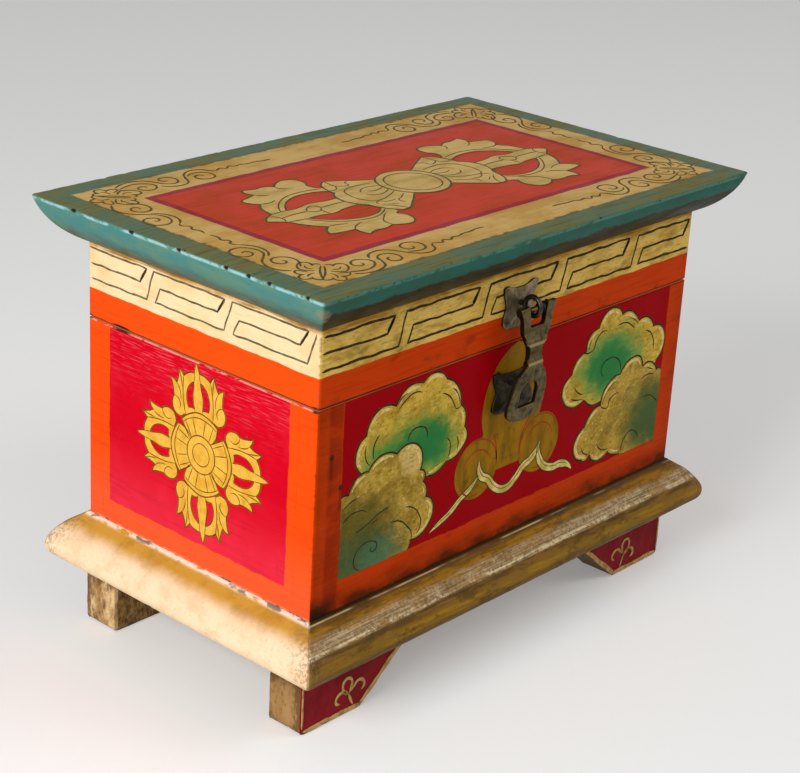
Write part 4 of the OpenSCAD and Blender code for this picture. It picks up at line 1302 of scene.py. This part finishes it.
def add_jewel(ink):
    """The jewel with its two discs and the ribbons under it."""
    jewel, arcs, ribbon, lines = (Layer("front") for _ in range(4))
    jewel.fill(EGG, height=0.05)
    jewel.fill(JEWEL_FOOT, height=0.062)
    for disc, height in zip(DISCS, (0.074, 0.086)):
        jewel.fill(circle(*disc), height=height)
    for line in JEWEL_ARCS:
        arcs.line(line, ARC, height=0.11, taper=4.0)
    for (points, width), height in zip(RIBBONS, (0.10, 0.12, 0.135)):
        left, right = band(flow(points), width, 7)
        ribbon.fill(left + right[::-1], height=height)
        for side_line in (left, right):
            lines.line(side_line, RIBBON_EDGE, height=height + 0.04, shake=0.05)
        fold = [p.lerp(q, 0.4) for p, q in zip(left, right)][4:-6]
        lines.line(fold, RIBBON_FOLD, height=height + 0.03, shake=0.05)
    jewel.piece("front_jewel",
                pigment("jewel_ochre", (160, 114, 6), (128, 92, 4), 6, (1, 1, 3), dirt=0.5))
    arcs.piece("front_jewel_arcs", pigment("jewel_red", (176, 60, 14), (142, 66, 12), 5))
    ribbon.piece("front_ribbon",
                 pigment("ribbon_cream", (236, 212, 128), (196, 172, 84), 4, dirt=0.4))
    lines.piece("front_ribbon_lines", ink)


# ---- Ends: crossed vajra ----

# One arm of the crossed vajra, pointing up from the middle of its disc: its right half
ARM_DISC, ARM_RING = 7.5, 4.5
PETAL_FAN = runs([(-5.6, 5.2), (-9.6, 12.2)], [(-5, 15.2), (0, 16.4), (5, 15.2), (9.6, 12.2)],
                 [(8.5, 8), (5.6, 5.2)])
ARM_HALF = runs([(0, 35.6), (0.9, 33.6), (1.3, 31.6)], [(4.4, 31.2), (7.2, 29.4)],
                [(8.2, 31), (9.6, 32)], [(10, 29), (11.3, 26)], [(12.6, 27.2), (14.4, 27.6)],
                [(13.4, 24), (13.2, 20.8)], [(14.4, 17.6), (13, 14.2), (9.6, 13.2)], [(7.4, 14.6)])
ARM_HOLE = runs([(2.1, 17.4), (2.7, 22), (2, 26), (1.7, 28.2)], [(4.7, 26), (6.2, 21.6), (5.4, 17.6)],
                [(3.8, 17.8), (2.1, 17.4)])
ARM_STROKES = [
    [(7.4, 14.6), (8, 19), (8, 24), (7.2, 29.4)], [(11.3, 26), (9.6, 23), (9.4, 20)],
    [(13.2, 20.8), (11.2, 20.2), (9.8, 17.6), (10.4, 16)], [(9.6, 32), (8.6, 28), (8.3, 25)],
    [(1.3, 31.6), (1.6, 29), (1.7, 28.2)], [(2.1, 17.4), (2.1, 16.4)]]
ARM_PETALS = [
    [(-9.0, 11.2), (-5, 13.4), (0, 14.4), (5, 13.4), (9.0, 11.2)],
    [(-1.8, 7.3), (-3.4, 13.8)], [(1.8, 7.3), (3.4, 13.8)], [(-4.6, 6.2), (-7.4, 12.1)],
    [(4.6, 6.2), (7.4, 12.1)]]
# Middle of the emblem on the end, the turns of its arms in degrees, and the widths of its outline,
# of the rims of its holes and of its inner strokes
VAJRA_MIDDLE = (2.9, 93.4)
ARM_TURNS = (5.5, 93.0, 183.0, 271.8)
OUTLINE, HOLE_RIM, INNER = 0.75, 0.6, 0.55


def add_crossed_vajra(face, gold, ink):
    """Four arms, each mirrored about its own middle, on fans of petals round a disc."""
    paint, lines = Layer(face), Layer(face)
    both = ((1, 1), (-1, 1))

    def at_middle(points, turn, flip=(1, 1)):
        return moved(points, turn, flip, VAJRA_MIDDLE)

    for k, turn in enumerate(ARM_TURNS):
        other = moved(ARM_HALF, flip=(-1, 1))[::-1]
        holes = [at_middle(ARM_HOLE, turn, flip) for flip in both]
        paint.fill(at_middle(ARM_HALF + other[:-1], turn), holes, height=0.05)
        paint.fill(at_middle(PETAL_FAN, turn), height=0.065 + 0.006 * k)
        for flip in both:
            lines.line(at_middle(ARM_HALF, turn, flip), OUTLINE)
            lines.line(at_middle(ARM_HOLE, turn, flip), HOLE_RIM, closed=True, shake=0.05)
            lines.strokes(ARM_STROKES, INNER, lambda line: at_middle(line, turn, flip))
        lines.line(at_middle(PETAL_FAN, turn), OUTLINE, height=0.13)
        lines.strokes(ARM_PETALS, INNER, lambda line: at_middle(line, turn), height=0.12)
    paint.fill(circle(*VAJRA_MIDDLE, ARM_DISC), height=0.1)
    lines.line(circle(*VAJRA_MIDDLE, ARM_DISC), 0.7, height=0.14, closed=True)
    lines.line(circle(*VAJRA_MIDDLE, ARM_RING), INNER, height=0.14, closed=True)
    paint.piece(face + "_emblem", gold)
    lines.piece(face + "_emblem_lines", ink)


# ---- Lid: vajra and scrollwork ----

# Left half of the vajra on the lid; the right half mirrors it about the disc
LID_DISC = (2.0, -0.8, 15.0)
LID_RING_R = 11.6
FLAMES = runs(
    [(-33.4, 15), (-35.4, 19.2), (-33.2, 25), (-34, 29.5), (-37.5, 31.2), (-42.5, 30.4), (-46.6, 27)],
    [(-50, 29.4), (-55, 29.5), (-60, 31)], [(-61.6, 27.5), (-60.2, 24.2)],
    [(-65, 22.8), (-69.6, 20.8), (-69.2, 17), (-66.6, 14.2)], [(-70, 10), (-71.8, 4), (-72.2, 2.4)],
    [(-75.4, 1.2), (-79.6, -3)], [(-76.4, -5.4), (-73.2, -8)], [(-72, -12), (-69.4, -16.6), (-66, -20.6)],
    [(-69.4, -23.4), (-71.4, -27)], [(-66, -28.2), (-60, -28.8)], [(-60.4, -32.4), (-59.6, -36)],
    [(-55.6, -34.4), (-50, -34.6), (-45, -33.2)], [(-41.5, -35.4), (-36.5, -36), (-32.6, -32.4),
                                                 (-32, -28), (-33.6, -25)], [(-31, -23)])
HOOP_HOLES = (
    runs([(-64.4, 2.6), (-61, 6.6), (-57, 10), (-52, 12.6), (-46, 13.6), (-40, 12.8), (-35, 11)],
         [(-34.4, 8), (-36.4, 5), (-37.8, 2.2)], [(-45, 2.4), (-52.5, 3.8), (-58, 2.4), (-64.4, 2.6)]),
    runs([(-64.4, -9.2), (-61, -13.4), (-56, -17.4), (-50, -20), (-44, -20.8), (-38, -19.6),
          (-34.2, -17.2)], [(-34, -14), (-36, -10.8), (-37.6, -8.4)],
         [(-45, -9), (-52.5, -10.4), (-58, -9.2), (-64.4, -9.2)]))
LOTUS = runs(
    [(-9, 10.4), (-17.5, 15.6)], [(-26.4, 20.7)], [(-30.8, 17.6), (-33.4, 12), (-34, 7.2)],
    [(-37.4, 3.6), (-38.6, -1.5), (-37.8, -6.4), (-34.6, -11)], [(-33.4, -16), (-30.6, -21), (-28, -23.4)],
    [(-25, -23.2), (-19, -19.4), (-9.4, -11.6)])
LID_STROKES = [
    [(-67, 2.5), (-64.4, 6.6), (-59, 11.6), (-53, 15), (-46, 16.2), (-38, 15.4), (-34.5, 14.4)],
    [(-66, -9.5), (-62, -15), (-57, -19.5), (-50, -22.5), (-43, -22.9), (-37, -21), (-33.4, -18.4)],
    [(-72.2, 2.4), (-64.4, 2.6)], [(-73.2, -8), (-64.4, -9.2)],
    [(-37.8, 2.2), (-38.6, -1.5)], [(-72.4, -3), (-65, -2.6), (-58.4, -2.8)],
    [(-51.6, -2.8), (-45, -2.5), (-38.7, -2.6)], [(-75.4, 1.2), (-72.4, -2.2), (-74, -6.8)],
    [(-58.4, -2.8), (-55.4, 0.4), (-52.6, 0.8), (-51.6, -2.8)],
    [(-58.4, -2.8), (-56, -5.4), (-53.4, -4.8), (-51.6, -2.8)], [(-53.4, -4.8), (-53.8, -9.8)],
    [(-46.6, 27), (-46.6, 24.4), (-44.4, 22.4)], [(-60.2, 24.2), (-58, 21.6), (-55.4, 20.6)],
    [(-66.6, 14.2), (-62, 13.4), (-58.6, 14.6)], [(-66, -20.6), (-61, -21), (-57.6, -22.6)],
    [(-60, -28.8), (-57, -26), (-51.6, -24.6)], [(-45, -33.2), (-44.4, -28.4), (-41, -25), (-36.8, -22.2)],
    [(-13.4, 7.8), (-19, 8.8), (-25, 8.6), (-29.6, 6.2), (-31.6, 1.8), (-31.6, -5), (-29.2, -9.2),
     (-24, -9.4), (-18, -7.2), (-13.2, -4.6)],
    [(-12.8, 3.4), (-17, 4.8), (-22, 4.4), (-25.2, 1.4)], [(-25.4, -1.2), (-22.4, -4.2), (-17.4, -4),
                                                      (-12.8, -1.2)],
    [(-22, 1.2), (-19.4, 0), (-16.4, 0.2), (-13.2, 1.6)],
    [(-33.8, 10.6), (-30.4, 10), (-27.8, 12.4), (-27.4, 16), (-26.4, 20.7)],
    [(-27.8, 14.6), (-25.4, 11.8), (-22, 11.2), (-21, 14.2), (-18.6, 15.4)],
    [(-30.6, -13), (-28.6, -10.4), (-26, -12.4), (-20.6, -12.2)], [(-31, -14.4), (-28, -17), (-25.4, -22.8)],
    [(-28, -15), (-24.4, -17.6)], [(-20.4, -17.2), (-20.4, -13.8), (-17, -12), (-12.6, -9)]]


# Widths of the brush lines on the lid: round the flames and the lotus, the hoops, and inside
LID_OUTLINES, LID_HOOP, LID_INNER = (1.15, 1.1), 0.9, 0.8


def add_lid_vajra(gold, ink):
    """The vajra along the lid, its right half a mirror image of the left one."""
    paint, lines = (Layer("top", "lid", "lid_paint") for _ in range(2))
    join = [Vector(p) for p in ((-30, -14), (-30, 8))]
    for flip, to, lotus_height in (((1, 1), (0, 0), 0.075), ((-1, 1), (2 * LID_DISC[0], 0), 0.07)):

        def placed(points):
            return moved(points, 0, flip, to)

        paint.fill(placed(FLAMES + join), [placed(hole) for hole in HOOP_HOLES], height=0.05)
        paint.fill(placed(LOTUS), height=lotus_height)
        lines.line(placed(FLAMES), LID_OUTLINES[0], height=0.12)
        for hole in HOOP_HOLES:
            lines.line(placed(hole), LID_HOOP, height=0.12, closed=True)
        lines.line(placed(LOTUS), LID_OUTLINES[1], height=0.14)
        lines.strokes(LID_STROKES, LID_INNER, placed, height=0.13, shake=0.25)
    paint.fill(circle(*LID_DISC), height=0.1)
    lines.line(circle(*LID_DISC), 1.2, height=0.15, closed=True)
    lines.line(circle(*LID_DISC[:2], LID_RING_R), LID_HOOP, height=0.15, closed=True)
    paint.piece("lid_emblem", gold)
    lines.piece("lid_emblem_lines", ink)


# Scrollwork of the front left corner of the lid. The leaf mirrors its half across the corner's
# diagonal, which meets the axes LEAF_OFFSET apart
LEAF_OFFSET = 48.8
HALF_LEAF = [
    runs([(-97.6, -49.8), (-95.6, -50.4), (-96, -52.4)], [(-94.2, -51.4), (-91.2, -53.8)],
         [(-92.6, -56.4), (-96.4, -58.8)], [(-98.6, -57.6), (-100.6, -55.6)]),
    runs([(-100.2, -58.6), (-97.4, -59.6), (-96.2, -60.6)], [(-98.4, -62.4), (-101.2, -61.4)],
         [(-101.6, -64.4), (-104.2, -65)], [(-105.4, -63), (-104.8, -61)], [(-107, -61.6), (-108.8, -59.2)]),
    flow([(-98.4, -50.4), (-103, -55.4), (-108.6, -59.6)]),
    flow([(-98.8, -54.6), (-96.4, -55.6), (-94.6, -54.4)]),
    flow([(-102.4, -57.4), (-102.2, -60), (-103.6, -61.8)])]
SCROLLS_X = [
    [(-96, -60), (-92, -61.5), (-87, -62), (-83, -60), (-81.3, -57), (-82.6, -54), (-85.6, -52.4),
     (-88.6, -53.6), (-89.7, -56), (-88, -58), (-86, -57.5), (-86, -55.8)],
    [(-96, -62.5), (-91, -64.8), (-85, -64.9), (-80.5, -62.5), (-78.5, -59), (-77.5, -56), (-75, -54),
     (-72, -54.2), (-69.8, -56.5), (-69.5, -59.5), (-71.5, -62), (-74.2, -62.2), (-75.8, -60.4),
     (-75, -58.2), (-73.4, -57.8)],
    [(-80, -54.5), (-77.5, -51.5), (-74, -50.3), (-70.5, -50.6), (-67.5, -53), (-65.5, -57), (-63, -60.5),
     (-59.5, -62.7), (-56, -62.8), (-53, -61), (-51.5, -58.3), (-49.6, -56.8)],
    [(-63.6, -57.6), (-60, -59.5), (-56.5, -59.3), (-54, -57), (-53.5, -54), (-55.5, -51), (-58.5, -50.3),
     (-61.5, -51.8), (-62.3, -54.5), (-60.6, -56.6), (-58.5, -56.2), (-58, -54.6)],
    [(-49.6, -56.8), (-48, -57.6), (-46.4, -58.6), (-43.6, -57), (-41.6, -58.4), (-39, -57), (-36, -57.4),
     (-33, -56.5), (-28, -56.5), (-24, -55.8), (-20.5, -56)]]
SCROLLS_Y = [
    [(-105, -45.4), (-102, -42), (-101, -37.6), (-103, -34), (-106, -33.2), (-108.6, -35), (-109, -38),
     (-107, -39.8), (-105.2, -38.8), (-105.6, -37)],
    [(-110.6, -47), (-113.4, -43), (-113.8, -38), (-111.6, -33.6), (-108, -30.6), (-105, -27), (-104.4, -22),
     (-106.6, -18.6), (-110.4, -17.4), (-114, -19.4), (-115, -23), (-113, -26.4), (-109.8, -26.6),
     (-108, -24.2), (-109.4, -22.2), (-111, -22.8)],
    [(-106, -30.6), (-102.6, -27), (-101.8, -22), (-103.4, -17.6), (-105.6, -15.4)],
    [(-105.6, -15.4), (-107, -12.8), (-105, -10.4), (-106.6, -7.6), (-105.6, -4.6), (-106.2, -1.4)]]


def add_scrollwork(ink):
    """Leaf and scrolls in each corner of the lid."""
    lines = Layer("top", "lid", "lid_paint")
    for flip in ((1, 1), (-1, 1), (1, -1), (-1, -1)):
        for points in HALF_LEAF:
            mirrored = [Vector((p.y - LEAF_OFFSET, p.x + LEAF_OFFSET)) for p in points]
            for half in (points, mirrored):
                lines.line(moved(half, 0, flip), 1.0, height=0.08, shake=0.2)
        lines.strokes(SCROLLS_X + SCROLLS_Y, 1.1, lambda line: moved(line, 0, flip), height=0.08, shake=0.3)
    lines.piece("lid_scrollwork", ink)


# ---- Gilding of the feet ----

# Sprig on the long face of the left foot: a loop, an arm to each side and a stem
FOOT_CURLS = [
    [(-86.4, 8.2), (-89.4, 10.8), (-89.6, 13.6), (-87.2, 15.2), (-84.9, 13.6), (-85.0, 10.8), (-86.2, 8.4)],
    [(-86.6, 8.4), (-89.4, 10.0), (-92.4, 9.2), (-93.2, 6.8), (-91.2, 5.6)],
    [(-86.2, 8.6), (-83.8, 10.4), (-81.2, 12.2), (-78.6, 11.2), (-77.9, 9.0), (-79.6, 7.6)],
    [(-86.4, 8.2), (-85.4, 5.6), (-84.0, 2.9)]]
# Length of a foot's lower edge
FOOT_LEN = 32.5


def add_foot_gilding(face, gilt):
    """Sprig and painted edges on the long faces of the two feet of one side."""
    lines = Layer(face, slot="foot_paint")
    (outer, _, _), (inner, _, foot_rise) = span("foot_front_left")
    lower_end = (outer + FOOT_LEN - 0.4, 1.2)
    edges = (([(outer + 1.0, foot_rise - 0.4), (outer + 1.0, 3.0)], 1.0),
             ([(outer + 1.7, 1.5), lower_end], 2.0),
             ([lower_end, (inner - 1.4, foot_rise - 0.6)], 2.0))
    for flip in ((1, 1), (-1, 1)):
        for edge, width in edges:
            lines.line(moved(flow(edge, pitch=1.2), 0, flip), width, height=0.08, shake=0.3, taper=0.5)
        lines.strokes(FOOT_CURLS, 1.25, lambda line: moved(line, 0, flip), height=0.1, taper=1.5)
    lines.piece(face + "_gilding", gilt)


# ---- The scene ----

add_camera()
add_light("key", (-0.88, -0.12, 0.42), distance=1.3, size=0.6, watts=13.6)
add_light("fill", (0.5, -0.62, 0.6), distance=1.5, size=0.7, watts=5.2)
add_world(light=0.26, shown=0.8)
add_floor(glow=0.22)
bpy.context.scene.view_settings.view_transform = "Standard"

LID_PAINT, PLINTH_PAINT, FOOT_PAINT, BARE_BOARD = lid_paint(), plinth_paint(), foot_paint(), bare_board()
HINGE_BRASS = metal("hinge_brass", (0.44, 0.3, 0.115), (0.29, 0.195, 0.075), (0.11, 0.073, 0.03), 0.34)
BRONZE = metal("hasp_bronze", (0.12, 0.088, 0.034), (0.077, 0.056, 0.021), (0.03, 0.021, 0.009), 0.38,
               COLLARS, 0.85)
RING_PLATE = metal("ring_plate_bronze", (0.25, 0.195, 0.11), (0.16, 0.12, 0.064),
                   (0.06, 0.045, 0.022), 0.42, dark_sides=0.85)
# A darker copy of the plate bronze: painted shade from the link over it
STAPLE_PLATE_SHADED = metal("staple_plate_bronze_shaded", (0.05, 0.04, 0.024), (0.032, 0.026, 0.015),
                     (0.016, 0.013, 0.008), 0.44, dark_sides=0.85)
WIRE = metal("hasp_wire", (0.06, 0.05, 0.038), (0.036, 0.03, 0.024), (0.02, 0.017, 0.014), 0.36)

# Each CAD node takes the material of the first part that is in its name
NODE_MATERIALS = (
    ("bottom_board", BARE_BOARD), ("foot_dowels", BARE_BOARD), ("_board", body_paint()),
    ("lid_rail", rail_paint()), ("lid_slab", LID_PAINT), ("plinth", PLINTH_PAINT),
    ("foot", FOOT_PAINT), ("hinge", HINGE_BRASS), ("plate", BRONZE), ("link", BRONZE), ("hasp", WIRE))
for name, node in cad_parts.items():
    found = next(material for part, material in NODE_MATERIALS if part in name)
    for holder in node.material_slots:
        holder.material = found

add_slab(LID_PAINT)
add_plinth(PLINTH_PAINT)
for place in ("front_left", "front_right", "back_left", "back_right"):
    sculpted("foot_worn_" + place, "foot_" + place, "chest", FOOT_PAINT, FOOT_FACET,
             foot_wear)
add_castings(BRONZE, RING_PLATE, STAPLE_PLATE_SHADED)

BLACK_INK = pigment("ink", (40, 36, 24), (66, 56, 34), 3, dirt=0.1)
GREY_INK = pigment("grey_ink", (88, 84, 58), (120, 112, 80), 3, dirt=0.1)
OLIVE_INK = pigment("olive_ink", (66, 56, 24), (96, 84, 36), 3, dirt=0.1)
UMBER_INK = pigment("umber_ink", (126, 84, 20), (92, 52, 18), 4, dirt=0.15)
VAJRA_GOLD = pigment("vajra_gold", (228, 176, 68), (214, 156, 48), 5)
LID_GOLD = pigment("lid_gold", (214, 178, 104), (190, 158, 84), 7, (3, 1, 1))
GILT = pigment("foot_gilt", (204, 168, 104), (164, 126, 70), 3)
CLOUD_RIM = pigment("cloud_rim", (238, 210, 132), (206, 170, 78), 1.6, dirt=0.5)
add_frets(BLACK_INK, GREY_INK)
add_clouds(BLACK_INK, CLOUD_RIM)
add_jewel(BLACK_INK)
for end in ("left", "right"):
    add_crossed_vajra(end, VAJRA_GOLD, UMBER_INK)
add_lid_vajra(LID_GOLD, OLIVE_INK)
add_scrollwork(OLIVE_INK)
for face in ("front_foot", "back_foot"):
    add_foot_gilding(face, GILT)
